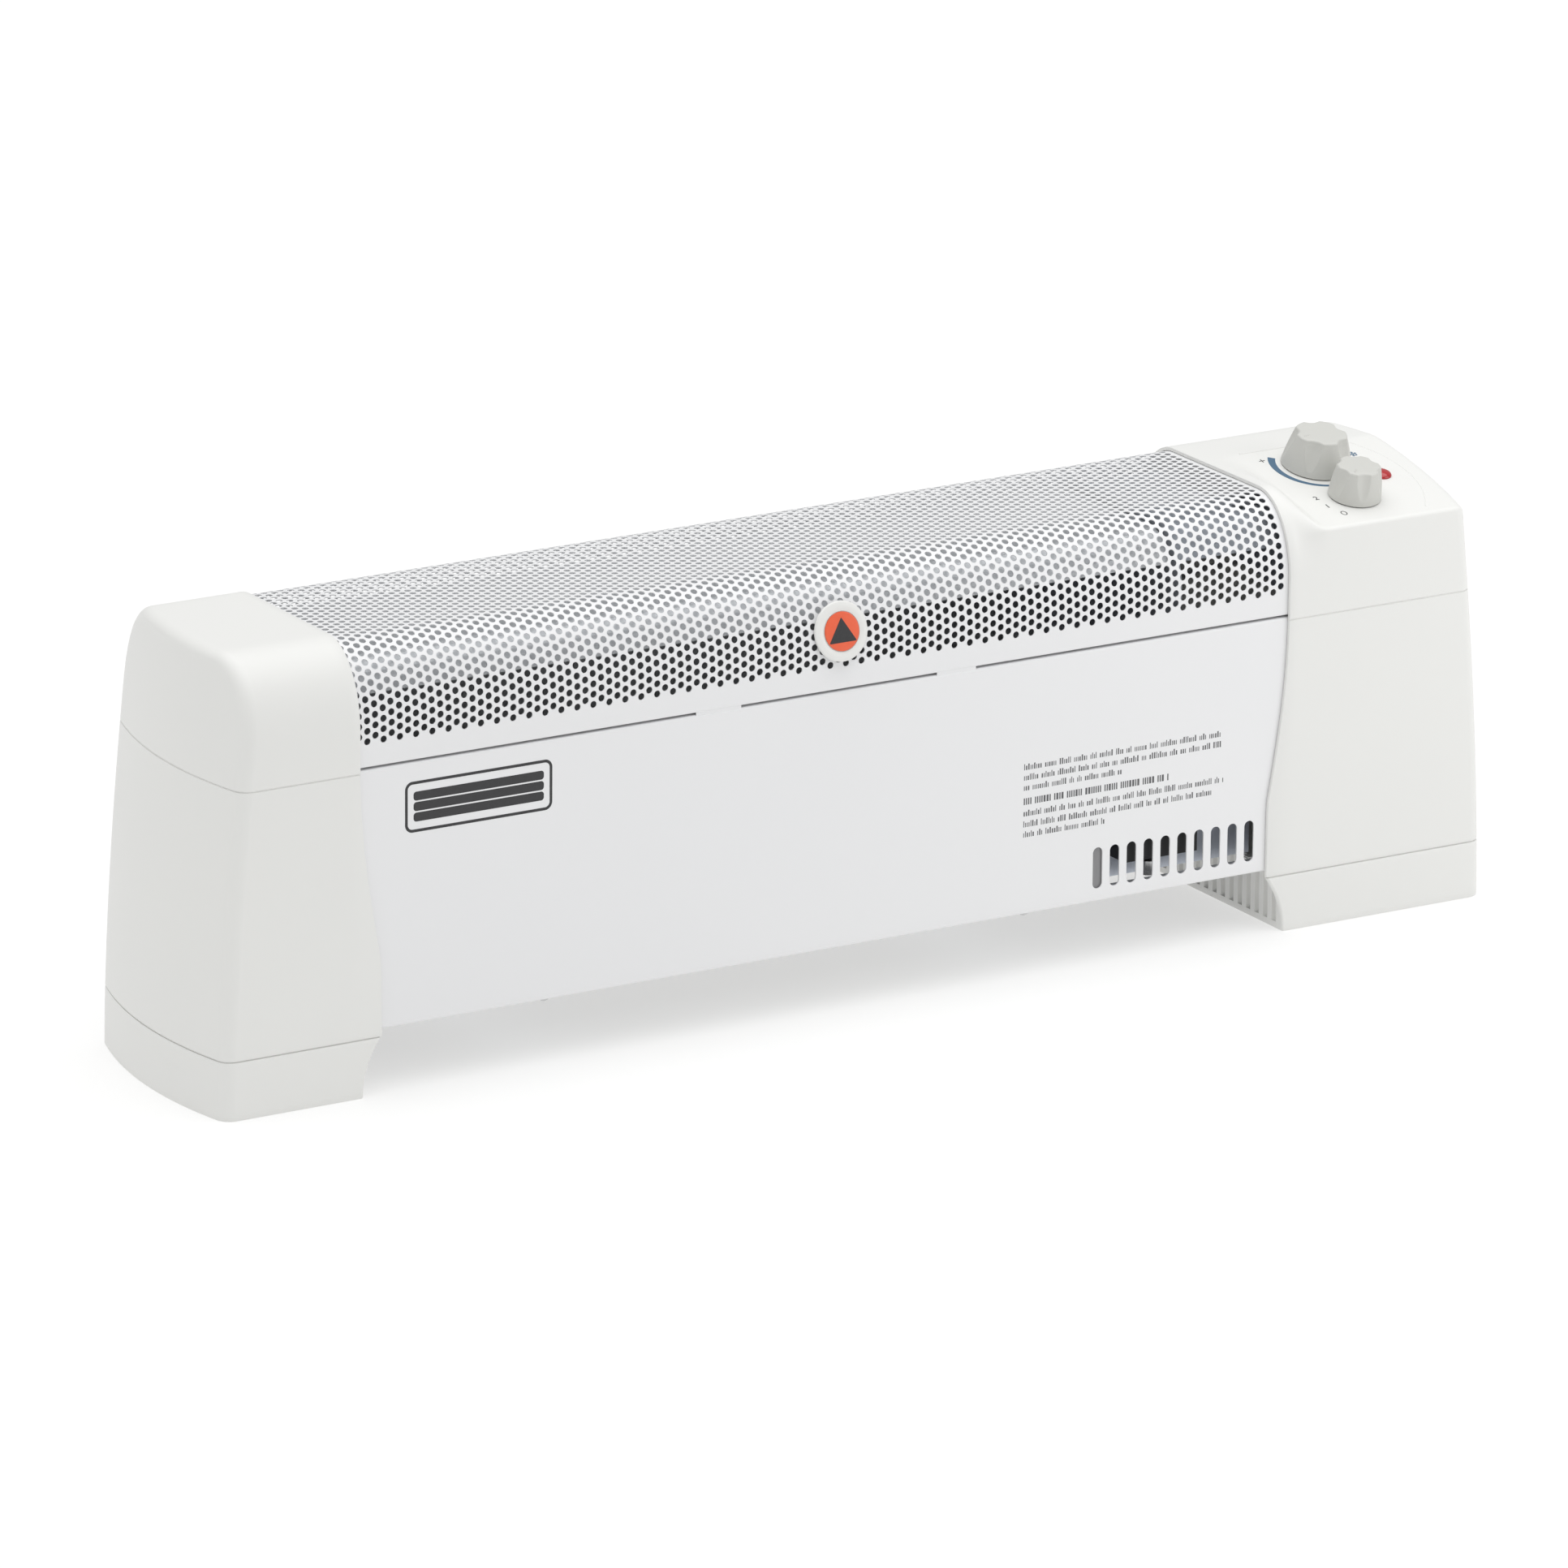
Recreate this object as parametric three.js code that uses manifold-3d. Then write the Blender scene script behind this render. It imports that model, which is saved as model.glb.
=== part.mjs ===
// Portable electric baseboard heater: a long sheet steel convector between two moulded end caps.
// Millimetres, +Z up, +X along the length towards the controls, -Y to the front.
// The origin is on the floor, at the middle of the length and the depth.
import * as THREE from "three";
import { mergeVertices } from "three/addons/utils/BufferGeometryUtils.js";
import Module from "manifold-3d";

const wasm = await Module();
wasm.setup();

// ---------------------------------------------------------------- driving dimensions
const GAP = 0.3; // between pieces that touch
const CAP = {
  halfDepth: 72.5,
  height: 231.7,
  cornerY: 32.1, // half axes of the rounded top corner
  cornerZ: 42.1,
  wall: 1.8,
  endX: 378.5, // furthest point of the bowed outer end
  bowRadius: 249,
  bowCentreY: -15,
  leanTotal: 10.4, // the outer end leans in by this much at leanHeight
  leanHeight: 168,
  edgeRound: 6.5, // between the outer end and the front, top and back
  bottom: 30.8,
  poleHeight: 150, // the end face's grid closes on this height
};
const FOOT = { top: 30.2, wall: 2.5, archDepth: 10.6, archPower: 2.2 };
const LEFT = { side: -1, innerLow: 283.7, innerHigh: 295.4, curveFrom: 68, curveTo: 168, screwX: 298.9 };
const RIGHT = { side: 1, innerLow: 238, innerHigh: 249, curveFrom: 70, curveTo: 168, screwX: 249.5 };
const SHEET = 0.8; // steel sheet
const BODY = {
  halfDepth: 70.4, // outer faces of the panels and the grille
  height: 229.6,
  leftEnd: -303,
  rightEnd: 253,
  bottom: 33.8,
  seam: 169.2, // joint between the panels and the grille
  flange: 20,
  grilleReturn: 7,
};
const SLOTS = { count: 10, firstX: 135.7, pitch: 10.25, width: 5.8, height: 22, centreZ: 51.6 };
const DEFLECTOR = { inset: 9.5, frontEdgeZ: 203.5, rearEdgeZ: 110, left: -300.5, right: 183.5, sheet: 0.6 };
const SHIELD = { left: 189.5, right: 250, holeX: 243, holeY: -36, holeSize: 9, slotX: 244, slotY: 4, slotW: 9, slotL: 32 };
const PARTITION = { leftX: -302.5, rightX: 186, sheet: 1, bottom: 36.5, inset: 4.5 };
const ELEMENT = {
  z: 104, spacingY: 40, tubeR: 4, fins: 16, finLeft: -272, finPitch: 28,
  finY: 34, finZ: 58, finSheet: 0.9,
};
const PANEL = { creaseZ: 213.1, slope: 0.22, morphFrom: 254, morphTo: 272 }; // the sloping control panel
const DIALS = {
  x: 305.4,
  thermostat: { b: 64.7, baseR: 18.6, topR: 13.4, height: 18.5, flutes: 5, pointer: 188 },
  heat: { b: 27.8, baseR: 13.9, topR: 11.2, height: 17.5, flutes: 6, pointer: 223 },
  lift: 0.5,
  spindleR: 3,
  spindleHoleR: 4.2,
};
const LENS = { a: 333, b: 44.9, rimR: 5.5, barrelR: 3.6, dome: 2.4 };
const BRACKET = { a0: 274, a1: 344, b0: 6, b1: 86, top: -15, sheet: 1.2, leg: 40 };
const BADGE = { x: -19.5, z: 200, ringR: 15.4, discR: 10.3, discRise: 2.6 };
const TIP = { x0: 155, x1: 199, y0: -66, y1: -42, z0: 50, z1: 84, wall: 2, pivotX: 177, pivotZ: 76, bobZ: 43 };
const TIP_PLATE = { x0: 129.5, bend: 143, x1: 247, y0: -69.2, y1: -41.6, z0: 37.5, z1: 89.4, carrierZ: 35, sheet: 0.8 };
const BRACES = { xs: [-188, 94], width: 22, sheet: 1.2, screwY: 65.5, endInset: 1.9 };
const BUSH = { x: 214, z: 62, holeR: 6.2, flangeR: 9.5 };

// ---------------------------------------------------------------- finishes
const paint = (color, roughness, metalness = 0) =>
  new THREE.MeshStandardMaterial({ color, roughness, metalness });
const FINISH = {
  shell: paint(0xe9e8e3, 0.42),
  steel: paint(0xeff0f1, 0.35),
  zinc: paint(0xc3c7ca, 0.38, 0.9),
  knob: paint(0xc9c9c2, 0.45),
  label: paint(0xe3572f, 0.4),
  lens: paint(0xc81d22, 0.15),
  fins: paint(0xb9bcc0, 0.35, 0.95),
  ceramic: paint(0xe8e2d2, 0.6),
  black: paint(0x1b1b1d, 0.5),
  screw: paint(0xb4b6b8, 0.3, 1),
  wire: paint(0x8c8f94, 0.5),
};

// The badge stands proud of the caps, so everything is moved back by half as much:
// the origin is then at the middle of the whole depth.
const BADGE_PROUD = 2.1;
const heater = new THREE.Group();
heater.position.y = BADGE_PROUD / 2;
function add(name, geometry, finish, parent = heater) {
  const mesh = new THREE.Mesh(geometry, finish);
  mesh.name = name;
  parent.add(mesh);
  return mesh;
}

// ---------------------------------------------------------------- solids
// A closed geometry from points and triangles: zero triangles go, and the faces are turned out.
function closedGeometry(points, triangles) {
  const flat = new THREE.BufferGeometry()
    .setAttribute("position", new THREE.Float32BufferAttribute(points.flat(), 3))
    .setIndex(triangles.flat());
  const merged = mergeVertices(flat, 1e-3);
  const at = merged.attributes.position;
  const corner = (k) => new THREE.Vector3().fromBufferAttribute(at, k);
  const kept = [];
  let volume = 0;
  for (let t = 0; t < merged.index.count; t += 3) {
    const [a, b, c] = [0, 1, 2].map((k) => merged.index.getX(t + k));
    if (a === b || b === c || c === a) continue;
    kept.push(a, b, c);
    volume += corner(a).dot(corner(b).cross(corner(c)));
  }
  if (volume < 0) kept.reverse();
  return merged.setIndex(kept);
}

function solidOf(geometry) {
  const bare = new THREE.BufferGeometry().setAttribute("position", geometry.getAttribute("position"));
  if (geometry.index) bare.setIndex(geometry.index);
  const merged = mergeVertices(bare, 1e-4);
  return new wasm.Manifold(
    new wasm.Mesh({
      numProp: 3,
      vertProperties: merged.attributes.position.array,
      triVerts: new Uint32Array(merged.index.array),
    }),
  );
}

function geometryOf(solid) {
  const mesh = solid.getMesh();
  const points = new Float32Array(mesh.numVert * 3);
  for (let i = 0; i < mesh.numVert; i++)
    points.set(mesh.vertProperties.subarray(i * mesh.numProp, i * mesh.numProp + 3), i * 3);
  return new THREE.BufferGeometry()
    .setAttribute("position", new THREE.BufferAttribute(points, 3))
    .setIndex(new THREE.BufferAttribute(mesh.triVerts, 1));
}

const cut = (geometry, ...tools) =>
  geometryOf(tools.reduce((left, tool) => left.subtract(solidOf(tool)), solidOf(geometry)));
const join = (geometry, ...others) =>
  geometryOf(others.reduce((sum, other) => sum.add(solidOf(other)), solidOf(geometry)));

function box(x0, x1, y0, y1, z0, z1) {
  return new THREE.BoxGeometry(x1 - x0, y1 - y0, z1 - z0)
    .translate((x0 + x1) / 2, (y0 + y1) / 2, (z0 + z1) / 2);
}

function extrude(shape, depth) {
  return new THREE.ExtrudeGeometry(shape, { depth, bevelEnabled: false, curveSegments: 4 });
}

// A (y, z) outline carried along X, and an (x, z) outline carried along Y.
const alongX = (shape, x0, x1) =>
  extrude(shape, x1 - x0).applyMatrix4(new THREE.Matrix4().set(0, 0, 1, x0, 1, 0, 0, 0, 0, 1, 0, 0, 0, 0, 0, 1));
const alongY = (shape, y0, y1) => extrude(shape, y1 - y0).rotateX(Math.PI / 2).translate(0, y1, 0);

const shapeOf = (points) => new THREE.Shape(points.map(([u, v]) => new THREE.Vector2(u, v)));

// A profile of (radius, height) pairs turned about +Z.
function turned(profile, sides = 24) {
  return new THREE.LatheGeometry(profile.map(([r, h]) => new THREE.Vector2(r, h)), sides).rotateX(Math.PI / 2);
}
const rod = (radius, z0, z1, sides = 20) => turned([[0, z0], [radius, z0], [radius, z1], [0, z1]], sides);

// Closed rings with equal numbers of points, joined one to the next, with flat ends.
function loft(rings) {
  const count = rings[0].length;
  const last = (rings.length - 1) * count;
  const triangles = [];
  for (let j = 0; j + 1 < rings.length; j++)
    for (let i = 0; i < count; i++) {
      const [a, b] = [j * count + i, j * count + ((i + 1) % count)];
      triangles.push([a, b, a + count], [b, b + count, a + count]);
    }
  const flat = rings[0].map(([x, y]) => new THREE.Vector2(x, y));
  const lid = THREE.ShapeUtils.triangulateShape(flat, []);
  const turning = (points) => Math.sign(THREE.ShapeUtils.area(points));
  const follows = turning(lid[0].map((k) => flat[k])) === turning(flat);
  for (const [a, b, c] of lid) {
    const [p, q] = follows ? [c, b] : [b, c];
    triangles.push([a, p, q], [last + a, last + q, last + p]);
  }
  return closedGeometry(rings.flat(), triangles);
}

// Two matching grids, an outer and an inner skin, closed along three borders.
// The fourth border, the last column, is welded to itself.
function shellOf(outer, inner) {
  const rows = outer.length;
  const columns = outer[0].length;
  const shift = rows * columns;
  const at = (i, j) => i * columns + j;
  const triangles = [];
  const quad = (a, b, c, d) => triangles.push([a, b, c], [a, c, d]);
  for (let i = 0; i + 1 < rows; i++)
    for (let j = 0; j + 1 < columns; j++) {
      quad(at(i, j), at(i, j + 1), at(i + 1, j + 1), at(i + 1, j));
      quad(shift + at(i, j), shift + at(i + 1, j), shift + at(i + 1, j + 1), shift + at(i, j + 1));
    }
  for (let i = 0; i + 1 < rows; i++) quad(at(i, 0), at(i + 1, 0), shift + at(i + 1, 0), shift + at(i, 0));
  for (let j = 0; j + 1 < columns; j++) {
    quad(at(0, j + 1), at(0, j), shift + at(0, j), shift + at(0, j + 1));
    const i = rows - 1;
    quad(at(i, j), at(i, j + 1), shift + at(i, j + 1), shift + at(i, j));
  }
  return closedGeometry([...outer.flat(), ...inner.flat()], triangles);
}

// ---------------------------------------------------------------- end caps
const lerp = (a, b, t) => a + (b - a) * t;
const clamp01 = (t) => Math.min(1, Math.max(0, t));
const smooth = (t) => clamp01(t) ** 2 * (3 - 2 * clamp01(t));

// The outer end: a shallow arc in plan that leans in towards the top.
function endFace(y, z, inset) {
  const bow = (y - CAP.bowCentreY) ** 2 / (2 * CAP.bowRadius);
  const lean = CAP.leanTotal * (Math.max(z, 0) / CAP.leanHeight) ** 1.65;
  return CAP.endX - inset - bow - lean;
}

// The edge next to the grille: upright below, a quarter wave in the middle, upright above.
function innerEdge(cap, z) {
  const t = clamp01((z - cap.curveFrom) / (cap.curveTo - cap.curveFrom));
  return lerp(cap.innerLow, cap.innerHigh, Math.sin((t * Math.PI) / 2));
}

// One half of the cap's outline, from the pole height to the middle of the top.
// end is -1 at the front and 1 at the back. sharp goes from 0, where both corners are round,
// to 1, where the front has the crease and the slope of the control panel.
const STEPS = { side: 3, upright: 1, corner: 8, creaseUprights: 3, top: 2, edge: 3, face: 2 };
const CREASE_ROUND = 1.4;
function halfOutline(sharp, inset, end) {
  const [depth, top] = [CAP.halfDepth - inset, CAP.height - inset];
  const [shoulderY, shoulderZ] = [CAP.halfDepth - CAP.cornerY, CAP.height - CAP.cornerZ];
  const slopeZ = (y) => Math.min(top, PANEL.creaseZ - inset * 1.02 + PANEL.slope * (y + CAP.halfDepth));
  const creased = (k) => {
    const { corner, creaseUprights } = STEPS;
    if (k <= creaseUprights)
      return [depth, lerp(shoulderZ, slopeZ(-depth) - CREASE_ROUND * 0.6, k / creaseUprights)];
    const y = lerp(depth - CREASE_ROUND, shoulderY, (k - creaseUprights - 1) / (corner - creaseUprights - 1));
    return [y, slopeZ(-y)];
  };
  const points = [];
  for (let k = 0; k < STEPS.upright; k++)
    points.push([depth, lerp(CAP.poleHeight, shoulderZ, k / STEPS.upright)]);
  for (let k = 0; k <= STEPS.corner; k++) {
    const angle = (k / STEPS.corner) * (Math.PI / 2);
    const y = shoulderY + (CAP.cornerY - inset) * Math.cos(angle);
    const z = shoulderZ + (CAP.cornerZ - inset) * Math.sin(angle);
    const [creasedY, creasedZ] = end < 0 ? creased(k) : [y, z];
    points.push([lerp(y, creasedY, sharp), lerp(z, creasedZ, sharp)]);
  }
  for (let k = 1; k <= STEPS.top; k++) {
    const y = lerp(shoulderY, 0, k / STEPS.top);
    points.push([y, lerp(top, slopeZ(end * y), sharp)]);
  }
  return points.map(([y, z]) => [end * y, z]);
}

function capOutline(sharp, inset) {
  const depth = CAP.halfDepth - inset;
  const side = (end) =>
    Array.from({ length: STEPS.side }, (_, k) => [
      end * depth, lerp(CAP.bottom, CAP.poleHeight, k / STEPS.side),
    ]);
  const front = [...side(-1), ...halfOutline(sharp, inset, -1)];
  const back = [...side(1), ...halfOutline(sharp, inset, 1)];
  return [...front, ...back.slice(0, -1).reverse()];
}

// The cap's skin as a grid: from the inner edge along X, round the outer edge, to the middle of the end.
function capSkin(cap, inset) {
  const radius = CAP.edgeRound - inset;
  const { morphFrom, morphTo } = PANEL;
  const stations = cap === RIGHT ? [0, 0.35, 0.65, 1].map((t) => lerp(morphFrom, morphTo, t)) : [305];
  const sharpAt = (x) => (cap === RIGHT ? smooth((x - morphFrom) / (morphTo - morphFrom)) : 0);
  const outlines = stations.map((x) => capOutline(sharpAt(x), inset));
  const final = outlines[outlines.length - 1];
  return final.map(([y, z], i) => {
    const row = [[innerEdge(cap, outlines[0][i][1]), ...outlines[0][i]]];
    stations.forEach((x, k) => row.push([x, ...outlines[k][i]]));
    const fromFloor = Math.min(i, final.length - 1 - i);
    const poleZ = lerp(CAP.bottom, CAP.poleHeight, Math.min(1, fromFloor / STEPS.side));
    const reach = Math.hypot(y, z - poleZ);
    const inwards = (d) => [lerp(y, 0, d / reach), lerp(z, poleZ, d / reach)];
    for (let k = 0; k <= STEPS.edge; k++) {
      const angle = (k / STEPS.edge) * (Math.PI / 2);
      const [yk, zk] = inwards(radius * (1 - Math.cos(angle)));
      row.push([endFace(yk, zk, inset) - radius * (1 - Math.sin(angle)), yk, zk]);
    }
    for (let k = 1; k <= STEPS.face; k++) {
      const [yk, zk] = inwards(lerp(radius, reach, k / STEPS.face));
      row.push([endFace(yk, zk, inset), yk, zk]);
    }
    return row.map(([x, yk, zk]) => [cap.side * x, yk, zk]);
  });
}

// A cross rib in the cap's foot end, which the foot's screws go into.
const FOOT_SCREWS = { ys: [-44, 44], x: 318, ribX: 7, ribZ0: 33, ribZ1: 36, pilotR: 1.9 };
const CAP_SCREWS = { zs: [62, 142], tipY: 62, headR: 3.1, headDepth: 1.1, shankR: 1.5 };
const pilotHoles = (cap) =>
  FOOT_SCREWS.ys.map((y) => rod(FOOT_SCREWS.pilotR, 20, 50, 12).translate(cap.side * FOOT_SCREWS.x, y, 0));
const capScrewX = (cap) => cap.side * cap.screwX;

function screwCutter(x, z, extra) {
  const profile = [
    [0, CAP_SCREWS.tipY], [CAP_SCREWS.shankR + extra, CAP_SCREWS.tipY],
    [CAP_SCREWS.shankR + extra, CAP.halfDepth - CAP_SCREWS.headDepth - extra],
    [CAP_SCREWS.headR + extra, CAP.halfDepth - CAP_SCREWS.headDepth - extra],
    [CAP_SCREWS.headR + extra, CAP.halfDepth - 0.1 + (extra ? 1 : 0)],
    [0, CAP.halfDepth - 0.1 + (extra ? 1 : 0)],
  ];
  return turned(profile, 12).rotateX(-Math.PI / 2).translate(x, 0, z);
}

function endCap(cap) {
  const shell = shellOf(capSkin(cap, 0), capSkin(cap, CAP.wall));
  const inside = CAP.halfDepth - CAP.wall + 0.6;
  const [near, far] = [FOOT_SCREWS.x - FOOT_SCREWS.ribX, FOOT_SCREWS.x + FOOT_SCREWS.ribX];
  const rib = box(...[cap.side * near, cap.side * far].sort((p, q) => p - q), -inside, inside,
    FOOT_SCREWS.ribZ0, FOOT_SCREWS.ribZ1);
  return cut(join(shell, rib), ...pilotHoles(cap), ...CAP_SCREWS.zs.map((z) => screwCutter(capScrewX(cap), z, GAP)));
}

// The sloping control panel's own frame: +X along the crease, +Y up the slope, +Z out of it.
const panelFrame = new THREE.Group();
panelFrame.position.set(0, -CAP.halfDepth, PANEL.creaseZ);
panelFrame.rotation.x = Math.atan(PANEL.slope);
panelFrame.updateMatrix();
heater.add(panelFrame);
const onPanel = (geometry) => geometry.applyMatrix4(panelFrame.matrix);

const dialHoles = [DIALS.thermostat, DIALS.heat].map((dial) =>
  onPanel(rod(DIALS.spindleHoleR, -8, 8, 16).translate(DIALS.x, dial.b, 0)));
const lensHole = onPanel(rod(LENS.barrelR + GAP, -8, 8, 16).translate(LENS.a, LENS.b, 0));
add("left_end_cap", endCap(LEFT), FINISH.shell);
add("right_end_cap", cut(endCap(RIGHT), ...dialHoles, lensHole), FINISH.shell);

// ---------------------------------------------------------------- feet
// A level outline of the foot: along the front, round the bowed end, back along the rear.
function footRing(cap, z, inset) {
  const depth = CAP.halfDepth - inset;
  const radius = CAP.edgeRound - inset;
  const arch = FOOT.archDepth * (1 - Math.min(1, z / CAP.bottom) ** FOOT.archPower);
  const inner = cap.innerLow + arch + inset;
  const ring = [[inner, -depth]];
  const rounded = (end, order) => {
    for (const k of order) {
      const angle = (k / 3) * (Math.PI / 2);
      const y = end * (depth - radius * (1 - Math.cos(angle)));
      ring.push([endFace(y, z, inset) - radius * (1 - Math.sin(angle)), y]);
    }
  };
  rounded(-1, [0, 1, 2, 3]);
  for (let k = 1; k < 5; k++) {
    const y = lerp(-(depth - radius), depth - radius, k / 5);
    ring.push([endFace(y, z, inset), y]);
  }
  rounded(1, [3, 2, 1, 0]);
  ring.push([inner, depth]);
  return ring.map(([x, y]) => [cap.side * x, y, z]);
}

function footLoft(cap, inset, heights) {
  return loft(heights.map((z) => footRing(cap, z, inset)));
}

function foot(cap) {
  const levels = [0, 10, 18, 25, FOOT.top];
  const outer = footLoft(cap, 0, levels);
  const hollow = footLoft(cap, FOOT.wall, [FOOT.wall, 10, 18, 25, FOOT.top + 0.5]);
  const posts = FOOT_SCREWS.ys.map((y) => rod(5.5, 1, FOOT.top - 0.2, 12).translate(cap.side * FOOT_SCREWS.x, y, 0));
  const holes = FOOT_SCREWS.ys.map((y) =>
    turned([[0, -1], [4.4, -1], [4.4, 3.6], [1.9, 3.6], [1.9, 40], [0, 40]], 12)
      .translate(cap.side * FOOT_SCREWS.x, y, 0));
  return cut(join(cut(outer, hollow), ...posts), ...holes);
}
add("left_foot", foot(LEFT), FINISH.shell);
add("right_foot", foot(RIGHT), FINISH.shell);

const footScrew = () =>
  turned([[0, 1.2], [3.7, 1.2], [4, 2.2], [4, 3.2], [1.5, 3.2], [1.5, 42], [0, 44]], 8);
for (const cap of [LEFT, RIGHT])
  FOOT_SCREWS.ys.forEach((y, i) => {
    const name = `${cap === LEFT ? "left" : "right"}_foot_screw_${i + 1}`;
    add(name, footScrew(), FINISH.screw).position.set(cap.side * FOOT_SCREWS.x, y, 0);
  });

// ---------------------------------------------------------------- sheet steel body
// The body's outline, inset from the outer faces: up the front, over the top and down the back.
function bodyArch(inset, frontZ, backZ, steps = 9) {
  const shoulderY = CAP.halfDepth - CAP.cornerY;
  const shoulderZ = CAP.height - CAP.cornerZ;
  const depth = BODY.halfDepth - inset;
  const corner = (k, end) => {
    const angle = (k / steps) * (Math.PI / 2);
    return [
      end * (shoulderY + (depth - shoulderY) * Math.cos(angle)),
      shoulderZ + (BODY.height - inset - shoulderZ) * Math.sin(angle),
    ];
  };
  const all = Array.from({ length: steps + 1 }, (_, k) => k);
  const front = all.map((k) => corner(k, -1));
  const back = all.map((k) => corner(steps - k, 1));
  return trimArch([[-depth, Math.min(frontZ, shoulderZ)], ...front, ...back, [depth, Math.min(backZ, shoulderZ)]],
    frontZ, backZ);
}

// Cuts an arch's legs to the given heights, with a new point where each is cut.
function trimArch(points, frontZ, backZ) {
  const trimmed = [];
  points.forEach(([y, z], i) => {
    const limit = y < 0 ? frontZ : backZ;
    const next = points[i + (y < 0 ? 1 : -1)];
    if (z >= limit - 1e-6) trimmed.push([y, z]);
    else if (next && next[1] > limit) {
      const t = (limit - z) / (next[1] - z);
      trimmed.push([lerp(y, next[0], t), limit]);
    }
  });
  return trimmed;
}

const archSheet = (inset, sheet, frontZ, backZ, x0, x1) =>
  alongX(shapeOf([...bodyArch(inset, frontZ, backZ), ...bodyArch(inset + sheet, frontZ, backZ).reverse()]), x0, x1);

const grilleBottom = BODY.seam + 0.6;
const grilleReturns = [-1, 1].map((end) => {
  const [outer, inner] = [end * BODY.halfDepth, end * (BODY.halfDepth - BODY.grilleReturn)];
  return box(BODY.leftEnd, BODY.rightEnd, Math.min(outer, inner), Math.max(outer, inner),
    grilleBottom, grilleBottom + SHEET);
});
add("top_grille",
  join(archSheet(0, SHEET, grilleBottom, grilleBottom, BODY.leftEnd, BODY.rightEnd), ...grilleReturns),
  FINISH.steel);

// A panel: an upright sheet with its top and bottom edges turned in.
function panel(end) {
  const [outer, inner, returned, top] = [
    BODY.halfDepth, BODY.halfDepth - SHEET, BODY.halfDepth - BODY.flange, BODY.halfDepth - BODY.grilleReturn,
  ].map((y) => end * y);
  const z0 = BODY.bottom;
  const z1 = BODY.seam - 0.6;
  return alongX(shapeOf([
    [returned, z0], [outer, z0], [outer, z1], [top, z1], [top, z1 - SHEET],
    [inner, z1 - SHEET], [inner, z0 + SHEET], [returned, z0 + SHEET],
  ]), BODY.leftEnd, BODY.rightEnd);
}

const slotShape = () => {
  const [r, half] = [SLOTS.width / 2, SLOTS.height / 2 - SLOTS.width / 2];
  const shape = new THREE.Shape();
  shape.absarc(0, half, r, 0, Math.PI);
  shape.absarc(0, -half, r, Math.PI, 2 * Math.PI);
  return shape;
};
const slotCutters = Array.from({ length: SLOTS.count }, (_, i) =>
  alongY(slotShape(), -BODY.halfDepth - 1, -BODY.halfDepth + SHEET + 1)
    .translate(SLOTS.firstX + i * SLOTS.pitch, 0, SLOTS.centreZ));
const braceHoles = (end) =>
  BRACES.xs.map((x) => rod(2, BODY.bottom - 1, BODY.bottom + 4, 12).translate(x, end * BRACES.screwY, 0));
const capScrewHoles = [LEFT, RIGHT].flatMap((cap) => CAP_SCREWS.zs.map((z) => screwCutter(capScrewX(cap), z, GAP)));
add("front_panel", cut(panel(-1), ...slotCutters, ...braceHoles(-1)), FINISH.steel);
const bushHole = rod(BUSH.holeR + GAP, -90, -50, 20).rotateX(Math.PI / 2).translate(BUSH.x, 0, BUSH.z);
add("back_panel", cut(panel(1), ...braceHoles(1), ...capScrewHoles, bushHole), FINISH.steel);

for (const cap of [LEFT, RIGHT])
  CAP_SCREWS.zs.forEach((z, i) => {
    const name = `${cap === LEFT ? "left" : "right"}_cap_screw_${i + 1}`;
    add(name, screwCutter(capScrewX(cap), z, 0), FINISH.screw);
  });

// Two straps across the open underside tie the panels together.
BRACES.xs.forEach((x, i) => {
  const reach = BODY.halfDepth - BRACES.endInset;
  const z0 = BODY.bottom + SHEET + GAP;
  const strap = box(-BRACES.width / 2, BRACES.width / 2, -reach, reach, z0, z0 + BRACES.sheet);
  const holes = [-1, 1].map((end) => rod(2, z0 - 1, z0 + 3, 12).translate(0, end * BRACES.screwY, 0));
  add(`bottom_brace_${i + 1}`, cut(strap, ...holes), FINISH.zinc).position.x = x;
  [-1, 1].forEach((end, k) => {
    const head = BODY.bottom - GAP;
    const screw = turned(
      [[0, head - 1.6], [1.6, head - 1.5], [2.6, head - 0.8], [2.8, head], [1.6, head], [1.6, head + 8], [0, head + 9]], 10);
    add(`brace_screw_${i * 2 + k + 1}`, screw, FINISH.screw).position.set(x, end * BRACES.screwY, 0);
  });
});

// The supply cord's bush in the back panel, with nothing in it.
{
  const inside = BODY.halfDepth - SHEET;
  const bush = turned([
    [BUSH.holeR - 1.8, inside - 4], [BUSH.holeR + 1.6, inside - 4], [BUSH.holeR + 1.6, inside - GAP],
    [BUSH.holeR, inside - GAP], [BUSH.holeR, BODY.halfDepth + GAP], [BUSH.flangeR, BODY.halfDepth + GAP],
    [BUSH.flangeR - 1, BODY.halfDepth + 1.9], [BUSH.holeR - 1.8, BODY.halfDepth + 1.9], [BUSH.holeR - 1.8, inside - 4],
  ], 20);
  add("cord_bush", bush.rotateX(-Math.PI / 2).translate(BUSH.x, 0, BUSH.z), FINISH.black);
}

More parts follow.
